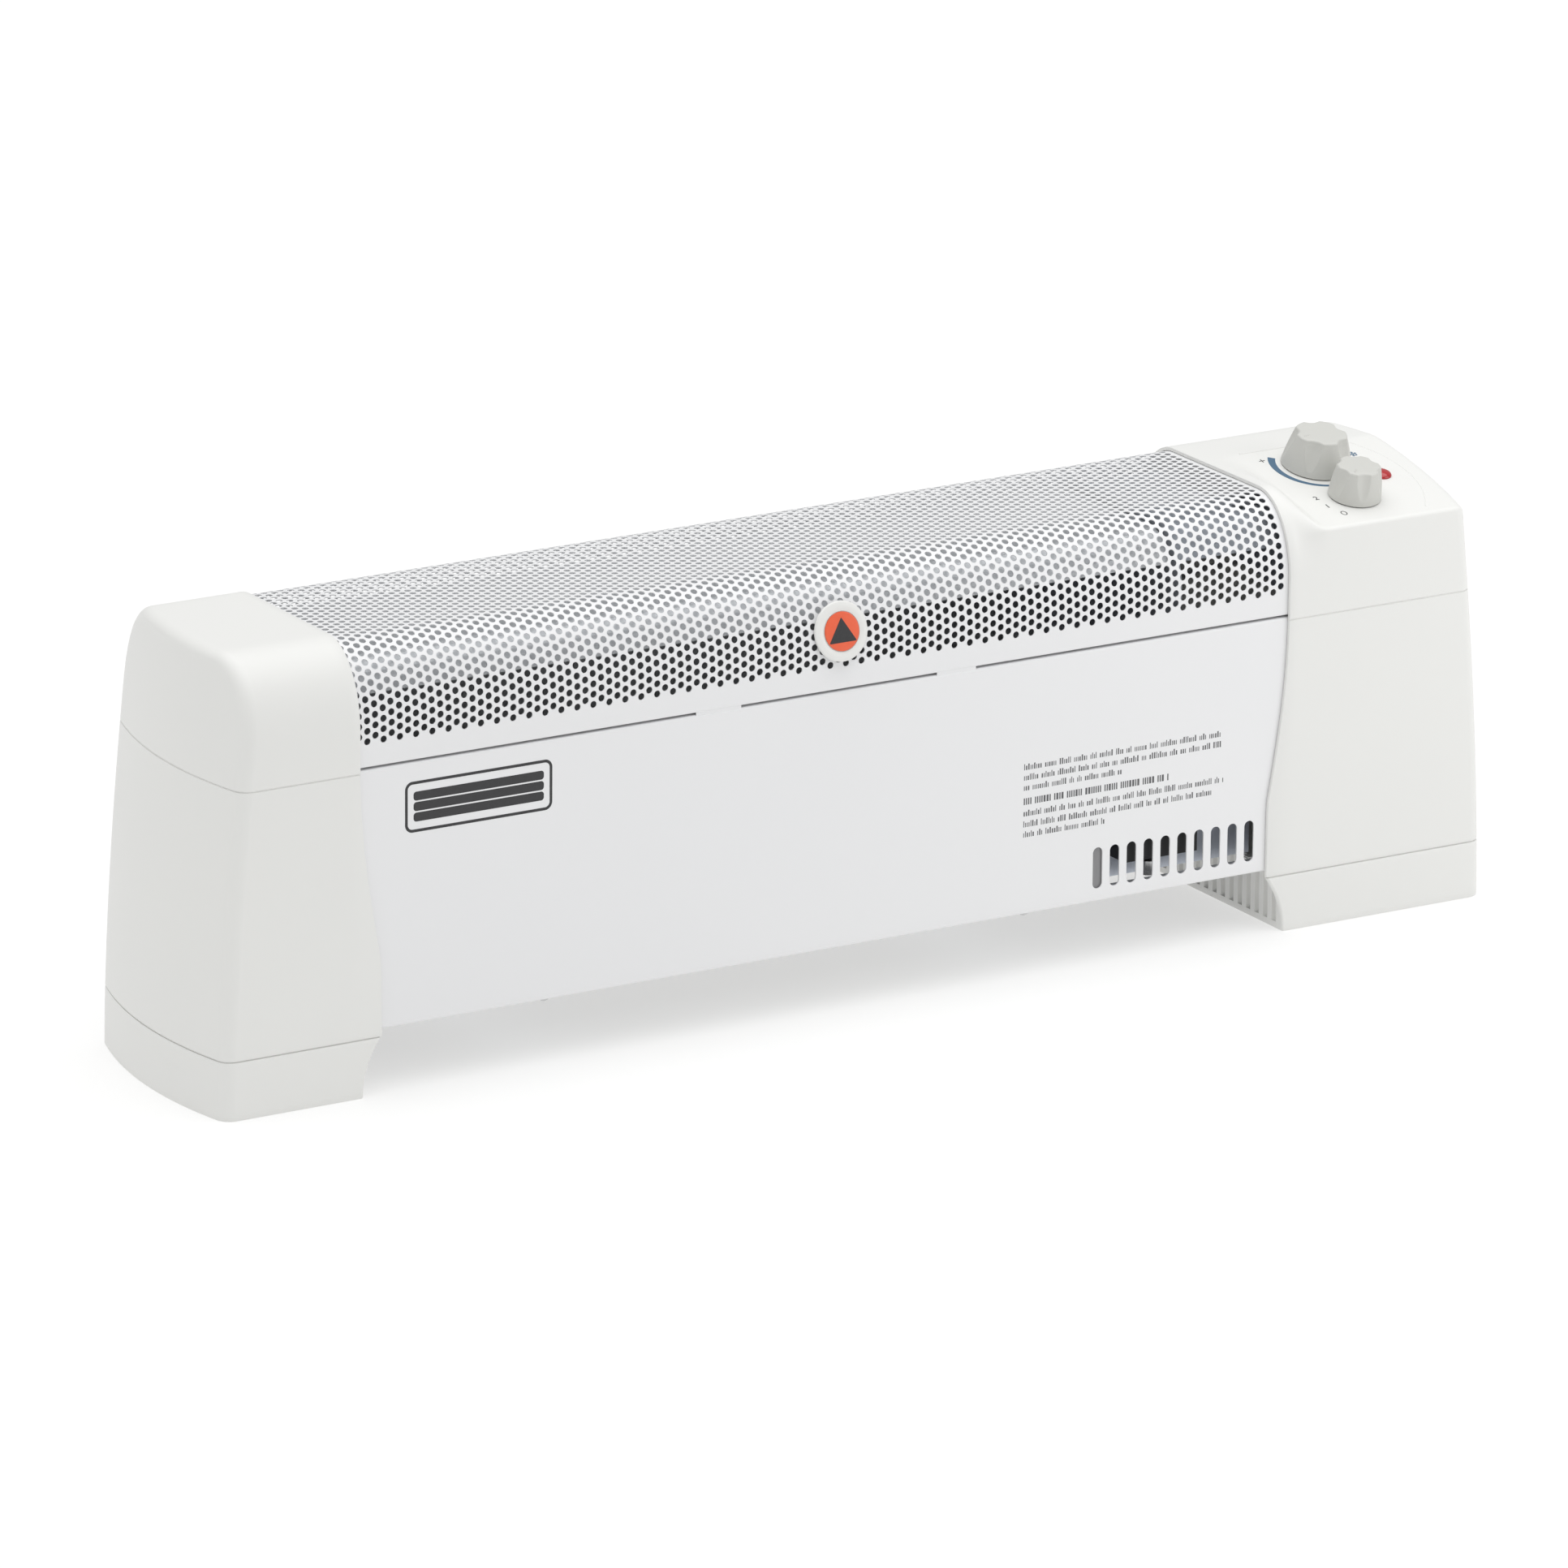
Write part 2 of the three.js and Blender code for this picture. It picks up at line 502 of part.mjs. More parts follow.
// ---------------------------------------------------------------- badge on the grille
// It sits on the rounded corner, square to the surface.
{
  const shoulderY = CAP.halfDepth - CAP.cornerY;
  const shoulderZ = CAP.height - CAP.cornerZ;
  const [semiY, semiZ] = [BODY.halfDepth - shoulderY, BODY.height - shoulderZ];
  const rise = (BADGE.z - shoulderZ) / semiZ;
  const y = -shoulderY - semiY * Math.sqrt(1 - rise ** 2);
  const tilt = Math.atan2(rise / semiZ, Math.sqrt(1 - rise ** 2) / semiY);
  const badge = new THREE.Group();
  badge.position.set(BADGE.x, y, BADGE.z);
  badge.rotation.x = Math.PI / 2 - tilt;
  heater.add(badge);
  const { ringR, discR, discRise } = BADGE;
  add("badge_button", turned([
    [0, GAP], [ringR - 3, GAP], [ringR, 0.8], [ringR, 1.5], [ringR - 1, 2.3], [ringR - 3.2, 2.8],
    [discR + GAP, 2.6], [discR + GAP, 1.9], [0, 1.9],
  ], 28), FINISH.shell, badge);
  add("badge_disc", rod(discR, 1.9 + GAP, discRise, 28), FINISH.label, badge);
}

// ---------------------------------------------------------------- inside the body
add("air_deflector",
  archSheet(DEFLECTOR.inset, DEFLECTOR.sheet, DEFLECTOR.frontEdgeZ, DEFLECTOR.rearEdgeZ, DEFLECTOR.left, DEFLECTOR.right),
  FINISH.zinc);
const opening = (x, y, width, length) => box(x - width / 2, x + width / 2, y - length / 2, y + length / 2, 190, 240);
const shieldOpenings = [
  opening(SHIELD.holeX, SHIELD.holeY, SHIELD.holeSize, SHIELD.holeSize),
  opening(SHIELD.slotX, SHIELD.slotY, SHIELD.slotW, SHIELD.slotL),
];
add("controls_shield",
  cut(archSheet(DEFLECTOR.inset, DEFLECTOR.sheet, DEFLECTOR.frontEdgeZ, DEFLECTOR.rearEdgeZ, SHIELD.left, SHIELD.right),
    ...shieldOpenings),
  FINISH.zinc);

// Partition plates carry the elements' ends; the right one is notched over the tip-over switch.
function partition(x, notched) {
  const outline = bodyArch(PARTITION.inset, PARTITION.bottom, PARTITION.bottom);
  const [frontY] = outline[0];
  const corner = notched ? [[TIP.y1 + 4, PARTITION.bottom], [TIP.y1 + 4, TIP.z1 + 6], [frontY, TIP.z1 + 6]] : [outline[0]];
  const plate = alongX(shapeOf([...corner, ...outline.slice(1)]), x, x + PARTITION.sheet);
  const holes = [-1, 1].map((end) =>
    rod(6.4, -4, 4, 16).rotateY(Math.PI / 2).translate(x, (end * ELEMENT.spacingY) / 2, ELEMENT.z));
  const notches = [-1, 1].map((end) =>
    box(x - 1, x + 2, ...[end * 63, end * BODY.halfDepth].sort((p, q) => p - q), BODY.seam - 2, BODY.seam + 2));
  return cut(plate, ...holes, ...notches);
}
add("left_partition", partition(PARTITION.leftX, false), FINISH.zinc);
add("right_partition", partition(PARTITION.rightX, true), FINISH.zinc);

// Two finned sheathed elements, one for each heat, carried in ceramic bushes.
["a", "b"].forEach((letter, i) => {
  const y = (i ? 1 : -1) * (ELEMENT.spacingY / 2);
  const tube = rod(ELEMENT.tubeR, PARTITION.leftX - 8, PARTITION.rightX + 9, 8).rotateY(Math.PI / 2);
  const { finPitch, finSheet, finY, finZ, finLeft } = ELEMENT;
  const fins = Array.from({ length: ELEMENT.fins }, (_, k) =>
    box(finLeft + k * finPitch, finLeft + k * finPitch + finSheet, -finY / 2, finY / 2, -finZ / 2, finZ / 2));
  add(`heating_element_${letter}`, join(tube, ...fins), FINISH.fins).position.set(0, y, ELEMENT.z);
  for (const [side, x] of [["left", PARTITION.leftX], ["right", PARTITION.rightX]]) {
    const sheet = PARTITION.sheet;
    const bore = ELEMENT.tubeR + GAP;
    const bush = turned([
      [bore, -4], [8.5, -4], [8.5, -GAP], [6.1, -GAP], [6.1, sheet + 3], [bore, sheet + 3], [bore, -4],
    ], 12).rotateY(Math.PI / 2);
    add(`ceramic_bush_${side}_${letter}`, bush, FINISH.ceramic).position.set(x, y, ELEMENT.z);
  }
});

// Over-temperature devices on the right partition's cool side.
add("thermal_cutout",
  turned([[0, 0], [8, 0], [8, 5], [6, 5.5], [6, 11], [0, 11]], 20).rotateY(Math.PI / 2),
  FINISH.ceramic).position.set(PARTITION.rightX + PARTITION.sheet + GAP, -18, 150);
add("thermal_fuse",
  turned([[0, 0], [2.2, 0], [2.2, 22], [1, 25], [0, 25]], 12).rotateX(-Math.PI / 2),
  FINISH.screw).position.set(PARTITION.rightX + PARTITION.sheet + GAP + 2.4, 14, 150);

// ---------------------------------------------------------------- controls
// A knob: a tapered body with concave flutes that fade towards its base, and a blind bore.
function knob(dial) {
  const sides = 30;
  const levels = [0, 0.35, 0.7, 0.94, 1];
  const rings = levels.map((t) => {
    const radius = t < 1 ? lerp(dial.baseR, dial.topR + 0.5, t / 0.94) : dial.topR;
    return Array.from({ length: sides }, (_, i) => {
      const angle = (i / sides) * 2 * Math.PI;
      const phase = dial.flutes * (angle - THREE.MathUtils.degToRad(dial.pointer)) + Math.PI;
      const flute = Math.max(0, Math.cos(phase)) ** 2 * 1.9 * smooth((t - 0.15) / 0.85);
      return [(radius - flute) * Math.cos(angle), (radius - flute) * Math.sin(angle), t * dial.height];
    });
  });
  return cut(loft(rings), rod(DIALS.spindleR + GAP, -1, dial.height - 5, 16));
}

function control(name, dial, body, bodyName) {
  const bracketTop = BRACKET.top;
  const depth = bracketTop - BRACKET.sheet - GAP;
  const group = new THREE.Group();
  group.position.set(DIALS.x, dial.b, 0);
  panelFrame.add(group);
  add(`${name}_knob`, knob(dial).translate(0, 0, DIALS.lift), FINISH.knob, group);
  add(`${name}_spindle`, rod(DIALS.spindleR, depth - 6, dial.height - 5.5, 16), FINISH.screw, group);
  const neck = rod(4.6, depth - 1, bracketTop + 8, 16);
  const bore = rod(DIALS.spindleR + GAP, depth - 6.4, bracketTop + 9, 16);
  add(bodyName, cut(join(body(depth), neck), bore), FINISH.black, group);
  const nut = new THREE.CylinderGeometry(7.5, 7.5, 3, 6).rotateX(Math.PI / 2).translate(0, 0, bracketTop + 1.5 + GAP);
  add(`${name}_nut`, cut(nut, rod(4.9, bracketTop - 1, bracketTop + 9, 16)), FINISH.screw, group);
}
control("thermostat", DIALS.thermostat,
  (top) => join(box(-17, 17, -13, 15, top - 14, top), box(-12, 12, -9, 11, top - 22, top - 13)), "thermostat_body");
control("heat_switch", DIALS.heat,
  (top) => join(turned([[0, top - 18], [13, top - 18], [13, top], [0, top]], 24), box(-8, 8, -8, 8, top - 24, top - 17)),
  "heat_switch_body");

{
  const { a0, a1, b0, b1, top, sheet, leg } = BRACKET;
  const plate = join(box(a0, a1, b0, b1, top - sheet, top), box(a0, a0 + sheet, b0, b1, top - leg, top));
  const holes = [DIALS.thermostat, DIALS.heat].map((dial) => rod(4.9, top - 4, top + 2, 16).translate(DIALS.x, dial.b, 0));
  const lampHole = rod(5.6, top - 4, top + 2, 16).translate(LENS.a, LENS.b, 0);
  add("control_bracket", cut(plate, ...holes, lampHole), FINISH.zinc, panelFrame);
}

// The lamp: a red lens pressed into the panel, with the neon behind it.
{
  const rim = LENS.rimR;
  add("lamp_lens", turned([
    [0, -11], [LENS.barrelR, -11], [LENS.barrelR, GAP], [rim, GAP], [rim, 0.9], [rim * 0.82, 1.7], [rim * 0.45, 2.3], [0, LENS.dome],
  ], 24).translate(LENS.a, LENS.b, 0), FINISH.lens, panelFrame);
  add("neon_lamp", turned([[0, -36], [4, -36], [4.6, -34], [4.6, -11.4], [0, -11.4]], 16)
    .translate(LENS.a, LENS.b, 0), FINISH.ceramic, panelFrame);
}

// ---------------------------------------------------------------- tip-over switch
// A hooded box open below, a pin across it, and a weighted pendulum on the pin.
{
  const { x0, x1, y0, y1, z0, z1, wall, pivotX, pivotZ, bobZ } = TIP;
  const middle = (y0 + y1) / 2;
  const hood = cut(box(x0, x1, y0, y1, z0, z1), box(x0 + wall, x1 - wall, y0 + wall, y1 - wall, z0 - 1, z1 - wall));
  const across = (radius, from, to) => rod(radius, from, to, 12).rotateX(-Math.PI / 2).translate(pivotX, 0, pivotZ);
  add("tip_switch_housing", cut(hood, across(1.5 + GAP, y0 - 1, y1 + 1)), FINISH.black);
  add("tip_switch_pin", across(1.5, y0 + 0.2, y1 - 0.2), FINISH.screw);
  const eye = rod(4, middle - 3, middle + 3, 16).rotateX(-Math.PI / 2).translate(pivotX, 0, pivotZ);
  const stem = rod(1.4, bobZ, pivotZ - 2, 12).translate(pivotX, middle, 0);
  const bob = turned([[0, bobZ - 6], [4, bobZ - 5.2], [6.4, bobZ - 2], [6.4, bobZ + 3], [4, bobZ + 6], [0, bobZ + 6]], 16)
    .translate(pivotX, middle, 0);
  add("tip_switch_pendulum", cut(join(eye, stem, bob), across(1.5 + GAP, middle - 5, middle + 5)), FINISH.screw);
}

// The switch's plate: one bent sheet, spot welded to the front panel at the left of the slots. It runs
// behind the switch to the right cap, and keeps hands and lint that enter the slots off the wiring.
{
  const { x0, bend, x1, y0, y1, z0, z1, carrierZ, sheet } = TIP_PLATE;
  add("tip_switch_plate", join(
    box(x0, bend, y0, y0 + sheet, z0, z1),
    box(bend - sheet, bend, y0, y1 + sheet, z0, z1),
    box(bend - sheet, x1, y1, y1 + sheet, carrierZ, z1),
  ), FINISH.zinc);
}

add("terminal_block", join(box(206, 236, 40, 58, 92, 104), box(209, 233, 43, 55, 103, 110)), FINISH.ceramic);

// ---------------------------------------------------------------- internal wires
function wire(name, points, radius = 1.5) {
  const path = new THREE.CatmullRomCurve3(points.map((p) => new THREE.Vector3(...p)), false, "centripetal");
  const section = new THREE.Shape().absarc(0, 0, radius, 0, 2 * Math.PI);
  add(name, new THREE.ExtrudeGeometry(section, {
    extrudePath: path, steps: 14, curveSegments: 3, bevelEnabled: false,
  }), FINISH.wire);
}
wire("wire_supply", [[214, 62, 62], [214, 52, 64], [218, 47, 72], [220, 48, 84], [220, 49, 91.5]], 2.2);
wire("wire_to_heat_switch", [[228, 49, 111.2], [232, 40, 130], [262, 10, 150], [292, -30, 160], [302, -44, 168]]);
wire("wire_to_thermostat", [[218, 49, 111.2], [222, 50, 130], [258, 44, 160], [292, 18, 172], [300, 6, 178]]);
wire("wire_to_cutout", [[198.8, -18, 150], [212, -18, 149], [262, -14, 146], [285, -9, 154], [291, -8, 168], [291.5, -8, 181]]);
wire("wire_to_elements", [[196.4, -20, 104], [206, -20, 106], [240, -30, 120], [286, -48, 150], [298, -52, 165]]);

const part = new THREE.Group();
part.add(heater);
export default part;
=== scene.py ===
"""Portable electric baseboard heater: the looks of its pieces, in the order they are put together.

Positions are worked out in millimetres on the heater's own middle line, and are moved back by
SET_BACK, because the badge stands proud of the front: the origin is at the middle of the depth.
"""

import bmesh
import bpy
import numpy as np
from mathutils import Matrix


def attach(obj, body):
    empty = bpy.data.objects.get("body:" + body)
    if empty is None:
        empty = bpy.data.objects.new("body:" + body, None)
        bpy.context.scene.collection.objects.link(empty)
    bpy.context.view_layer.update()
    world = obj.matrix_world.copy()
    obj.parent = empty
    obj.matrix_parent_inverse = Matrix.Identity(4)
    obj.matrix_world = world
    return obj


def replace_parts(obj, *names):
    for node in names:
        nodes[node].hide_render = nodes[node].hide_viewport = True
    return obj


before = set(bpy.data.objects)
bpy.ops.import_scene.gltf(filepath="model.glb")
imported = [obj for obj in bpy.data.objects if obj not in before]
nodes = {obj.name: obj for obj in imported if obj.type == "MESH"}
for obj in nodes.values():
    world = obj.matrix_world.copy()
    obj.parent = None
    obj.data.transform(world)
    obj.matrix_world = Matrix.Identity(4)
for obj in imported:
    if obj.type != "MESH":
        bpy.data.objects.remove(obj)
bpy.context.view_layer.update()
MM = 0.001
SET_BACK = np.array([0.0, 1.05, 0.0])

# ---------------------------------------------------------------- view, floor and light
# A long lens looks along the heater from high in front of its left end. The floor is a pale
# light table that glows a little, and the light is an even tent with one broad lamp overhead.
YAW, PITCH, ROLL = np.radians([31.22, 17.18, 0.49])
level = np.array([np.cos(YAW), -np.sin(YAW), 0.0])
ahead = np.array([np.sin(YAW) * np.cos(PITCH), np.cos(YAW) * np.cos(PITCH), -np.sin(PITCH)])
above = np.cross(level, ahead)
across = np.cos(ROLL) * level + np.sin(ROLL) * above
above = np.cos(ROLL) * above - np.sin(ROLL) * level
eye = np.array([0.0, -0.00145, 0.110]) - 0.0093 * across - 0.0106 * above - 5.995 * ahead
camera = bpy.data.objects.new("camera", bpy.data.cameras.new("camera"))
camera.data.sensor_width = 36.0
camera.data.lens = 270.84
camera.data.clip_end = 60.0
turn = np.eye(4)
turn[:3, 0], turn[:3, 1], turn[:3, 2], turn[:3, 3] = across, above, -ahead, eye
camera.matrix_world = Matrix(turn.tolist())
bpy.context.scene.collection.objects.link(camera)
bpy.context.scene.camera = camera
bpy.context.scene.view_settings.view_transform = "Standard"

tent = bpy.data.worlds.new("tent")
tent.use_nodes = True
tent.node_tree.nodes["Background"].inputs["Color"].default_value = (0.985, 0.99, 1.0, 1.0)
tent.node_tree.nodes["Background"].inputs["Strength"].default_value = 0.47
bpy.context.scene.world = tent


def lamp(name, kind, energy, place, aim, **settings):
    """A lamp at place, turned so that it shines at aim."""
    data = bpy.data.lights.new(name, kind)
    data.energy = energy
    for key, value in settings.items():
        setattr(data, key, value)
    made = bpy.data.objects.new(name, data)
    bpy.context.scene.collection.objects.link(made)
    back = np.array(place) - np.array(aim)
    back = back / np.linalg.norm(back)
    side = np.cross([0.0, 1.0, 0.001], back)
    side = side / np.linalg.norm(side)
    pose = np.eye(4)
    pose[:3, 0], pose[:3, 1], pose[:3, 2], pose[:3, 3] = side, np.cross(back, side), back, place
    made.matrix_world = Matrix(pose.tolist())


lamp("overhead", "SUN", 2.15, (-0.05, -0.12, 3.0), (0.0, 0.0, 0.0), angle=np.radians(80))
lamp("right_softbox", "AREA", 1.9, (0.9, -0.75, 0.5), (0.3, 0.0, 0.12), shape="SQUARE", size=0.6)

corners = np.array([[-15, -15, 0], [15, -15, 0], [15, 15, 0], [-15, 15, 0]], float)
floor_mesh = bpy.data.meshes.new("floor")
floor_mesh.from_pydata(corners.tolist(), [], [[0, 1, 2, 3]])
floor = bpy.data.objects.new("floor", floor_mesh)
bpy.context.scene.collection.objects.link(floor)
sweep = bpy.data.materials.new("pale_sweep")
sweep.use_nodes = True
for key, value in {"Base Color": (0.40, 0.40, 0.40, 1.0), "Emission Color": (1.0, 1.0, 0.99, 1.0),
                   "Emission Strength": 0.57, "Roughness": 0.9}.items():
    sweep.node_tree.nodes["Principled BSDF"].inputs[key].default_value = value
floor_mesh.materials.append(sweep)


# ---------------------------------------------------------------- feet
# Each foot is a shallow moulded tray under its end cap, in warm white plastic. Its inner wall is
# ribbed, between edges that flare out at the floor. Two screws through posts hold it to the cap.
class Flow:
    """A socket in a finish. Operators add Math nodes, and node() adds any other kind."""

    def __init__(self, tree, socket=None):
        self.tree, self.socket = tree, socket

    def node(self, kind, settings=None, values=None, out=0):
        """Adds a node: its settings come first, then the values or links of its sockets."""
        made = self.tree.nodes.new("ShaderNode" + kind)
        for name, value in (settings or {}).items():
            setattr(made, name, value)
        for name, value in (values or {}).items():
            if isinstance(value, Flow):
                self.tree.links.new(value.socket, made.inputs[name])
            else:
                made.inputs[name].default_value = value
        return Flow(self.tree, made.outputs[out])

    def maths(self, operation, *terms, clamp=False):
        return self.node("Math", {"operation": operation, "use_clamp": clamp}, dict(enumerate(terms)))

    def __add__(self, other):
        return self.maths("ADD", self, other)

    def __sub__(self, other):
        return self.maths("SUBTRACT", self, other)

    def __rsub__(self, other):
        return self.maths("SUBTRACT", other, self)

    def __mul__(self, other):
        return self.maths("MULTIPLY", self, other)

    __radd__, __rmul__ = __add__, __mul__

    def blend(self, low, high):
        """A colour between low, where this value is 0, and high, where it is 1."""
        low, high = (end if isinstance(end, Flow) else (*end, 1.0) for end in (low, high))
        return self.node("Mix", {"data_type": "RGBA"}, {0: self, 6: low, 7: high}, out=2)

    def noise(self, scale, detail=2.0, rough=0.5):
        values = {"Vector": self, "Scale": scale, "Detail": detail, "Roughness": rough}
        return self.node("TexNoise", None, values)

    def stretched(self, *scale):
        return self.node("Mapping", None, {"Vector": self, "Scale": scale})


def new_finish(name, metallic=0.0, **constants):
    """A finish, its shader and a Flow of Object coordinates. Constants go on the shader's sockets."""
    finish = bpy.data.materials.new(name)
    finish.use_nodes = True
    shader = finish.node_tree.nodes["Principled BSDF"]
    shader.inputs["Metallic"].default_value = metallic
    for key, value in constants.items():
        shader.inputs[key.replace("_", " ").title()].default_value = value
    tree = finish.node_tree
    return finish, shader, Flow(tree, tree.nodes.new("ShaderNodeTexCoord").outputs["Object"])


def feed(shader, colour, roughness, relief=None, depth=0.00002, strength=0.5):
    """Links a finish's colour, roughness and relief; depth is the relief's height in metres."""
    tree = shader.id_data
    for name, value in {"Base Color": colour, "Roughness": roughness}.items():
        tree.links.new(value.socket, shader.inputs[name])
    if relief is not None:
        bump = relief.node("Bump", None, {"Strength": strength, "Distance": depth, "Height": relief})
        tree.links.new(bump.socket, shader.inputs["Normal"])


def moulded(name, colour, shaded, roughness, grain=1400.0, depth=0.000012, **constants):
    """Moulded plastic: a fine spark-eroded grain, slow clouds in the colour, and duller patches."""
    finish, shader, place = new_finish(name, **constants)
    fine = place.noise(grain, 3.0, 0.6)
    clouds = place.noise(9.0, 3.0)
    feed(shader, clouds.blend(colour, shaded), (fine - 0.5) * 0.16 + clouds * 0.06 + (roughness - 0.03),
         fine, depth)
    return finish


shell_plastic = moulded("shell_plastic", (0.80, 0.80, 0.775), (0.78, 0.78, 0.76), 0.42)


def grid_quads(rows, columns, wrap=False):
    """Quads between neighbouring rows and columns of a grid; wrap joins the last column to the first."""
    i = np.arange(rows - 1)[:, None] * columns
    j = np.arange(columns if wrap else columns - 1)[None]
    k = (j + 1) % columns
    return np.stack([i + j, i + k, i + columns + k, i + columns + j], -1).reshape(-1, 4)


def solid(name, points, faces, finish=None, slot=None, body="root", crease=32, tidy=True):
    """A closed piece from points in millimetres and faces: doubles merged, faces out, creases sharp.
    Without a finish it is a tool, to be joined to a piece or cut from it."""
    mesh = bpy.data.meshes.new(name)
    placed = (np.reshape(points, (-1, 3)) + SET_BACK) * MM
    mesh.from_pydata(placed.tolist(), [], faces.tolist() if isinstance(faces, np.ndarray) else faces)
    if tidy:
        work = bmesh.new()
        work.from_mesh(mesh)
        bmesh.ops.remove_doubles(work, verts=work.verts, dist=2e-6)
        bmesh.ops.dissolve_degenerate(work, edges=work.edges, dist=1e-7)
        bmesh.ops.recalc_face_normals(work, faces=work.faces)
        if work.calc_volume(signed=True) < 0:
            bmesh.ops.reverse_faces(work, faces=work.faces)
        work.to_mesh(mesh)
        work.free()
    made = bpy.data.objects.new(name, mesh)
    bpy.context.scene.collection.objects.link(made)
    if finish is None:
        return made
    mesh.materials.append(finish)
    mesh.shade_smooth()
    mesh.set_sharp_from_angle(angle=np.radians(crease))
    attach(made, body)
    return made


def turned(profile, sides=32):
    """Points and quads of a profile of (radius, height) pairs turned about +Z."""
    radius, height = np.array(profile, float).T[:, :, None]
    angle = np.linspace(0, 2 * np.pi, sides, endpoint=False)[None]
    points = np.stack([radius * np.cos(angle), radius * np.sin(angle), height + 0 * angle], -1)
    return points.reshape(-1, 3), grid_quads(len(profile), sides, wrap=True)


def lofted(rings):
    """Points and faces of like rings joined in a row, with one face over each end."""
    rings = np.array(rings, float)
    rows, count = rings.shape[:2]
    ends = [list(range(count))[::-1], list(range((rows - 1) * count, rows * count))]
    return rings.reshape(-1, 3), grid_quads(rows, count, wrap=True).tolist() + ends


def rod(radius, low, high):
    """The profile of a plain rod."""
    return [(0, low), (radius, low), (radius, high), (0, high)]


def worked(piece, operation, *tools, crease=32):
    """Joins tools to a piece, or cuts them from it, and removes them."""
    for tool in tools:
        step = piece.modifiers.new("work", "BOOLEAN")
        step.object, step.operation, step.solver = tool, operation, "MANIFOLD"
        shape = bpy.data.meshes.new_from_object(piece.evaluated_get(bpy.context.evaluated_depsgraph_get()))
        piece.modifiers.remove(step)
        piece.data = shape
        bpy.data.objects.remove(tool)
    piece.data.shade_smooth()
    piece.data.set_sharp_from_angle(angle=np.radians(crease))


HALF_DEPTH = 72.5
INNER_LOW = {"left": 283.7, "right": 238.0}
SIDE = {"left": -1.0, "right": 1.0}
EDGE_ROUND = 6.5
END_X, BOW_R, BOW_MIDDLE_Y = 378.5, 249.0, -15.0
LEAN, LEAN_HEIGHT, LEAN_POWER = 10.4, 168.0, 1.65
FOOT_TOP, FOOT_WALL, FLARE, FLARE_POWER, LIP_ROUND, LIP_DEPTH = 30.8, 2.5, 10.6, 2.2, 1.2, 2.4
GROOVES, GROOVE_HALF, GROOVE_DEPTH, GROOVE_START = np.arange(-64.0, 65.0, 8.0), 2.0, 2.8, 3.6
FOOT_SCREW_X, FOOT_SCREW_YS = 318.0, (-44.0, 44.0)
POST_R, HEAD_R, HEAD_DEPTH, SHANK_R = 5.5, 4.4, 3.6, 1.9


def end_face(y, z, inset):
    """The outer end: a shallow arc in plan, which leans in as height to LEAN_POWER."""
    bow = (y - BOW_MIDDLE_Y) ** 2 / (2 * BOW_R)
    return END_X - inset - bow - LEAN * (np.maximum(z, 0) / LEAN_HEIGHT) ** LEAN_POWER


def foot_rings(hand, z, inset, ribbed):
    """Level outlines, one for each z: front, rounded edge, bowed end, rounded edge, back, inner wall.
    The front's and the back's inner edges flare out towards the floor, as 1 less height to
    FLARE_POWER. The wall between them is upright. Its grooves are half ellipses across, and are
    closed by half ellipses at their lower ends."""
    z, inset = np.array(z, float)[:, None], np.array(inset, float)[:, None]
    depth, radius = HALF_DEPTH - inset, EDGE_ROUND - inset
    wall = INNER_LOW[hand] + FLARE + inset
    flared = wall - FLARE * np.minimum(1, z / FOOT_TOP) ** FLARE_POWER if ribbed else wall + LIP_ROUND
    quarter = np.linspace(0, np.pi / 2, 9)[None]
    y_edge = depth - radius * (1 - np.cos(quarter))
    y_end = np.linspace(-1, 1, 26)[None, 1:-1] * (depth - radius)
    x_edge = [end_face(s * y_edge, z, inset) - radius * (1 - np.sin(quarter)) for s in (-1, 1)]
    x_end = end_face(y_end, z, inset)
    x_in = flared + LIP_ROUND * (1 - np.sin(quarter))
    y_in = depth - LIP_ROUND * (1 - np.cos(quarter))
    y_step = HALF_DEPTH - LIP_DEPTH + 0 * z
    across_groove = np.array([-1.04, -1, -0.93, -0.7, -0.35, 0, 0.35, 0.7, 0.93, 1, 1.04])
    y_ribs = (GROOVES[:, None] + GROOVE_HALF * across_groove[None]).ravel()[None] + 0 * z
    profile = np.sqrt(np.maximum(0, 1 - np.tile(across_groove, len(GROOVES)) ** 2))[None]
    climb = np.clip((z - GROOVE_START) / GROOVE_HALF, 0, 1)
    cut_in = GROOVE_DEPTH * profile * np.sqrt(climb * (2 - climb)) if ribbed else 0 * profile
    x_ribs = np.maximum(wall, flared) + cut_in
    step = np.hstack([flared, np.maximum(wall, flared)])
    y = np.hstack([-y_edge, y_end, y_edge[:, ::-1], y_in, y_step, y_step, y_ribs[:, ::-1], -y_step, -y_step,
                   -y_in[:, ::-1]])
    x = np.hstack([x_edge[0], x_end, x_edge[1][:, ::-1], x_in, step, x_ribs[:, ::-1], step[:, ::-1],
                   x_in[:, ::-1]])
    return np.stack([SIDE[hand] * x, y, z + 0 * x], -1)


def pole(ring):
    """A ring drawn together at its own middle."""
    middle = (ring.min(0) + ring.max(0)) / 2
    return np.tile(middle, (len(ring), 1))


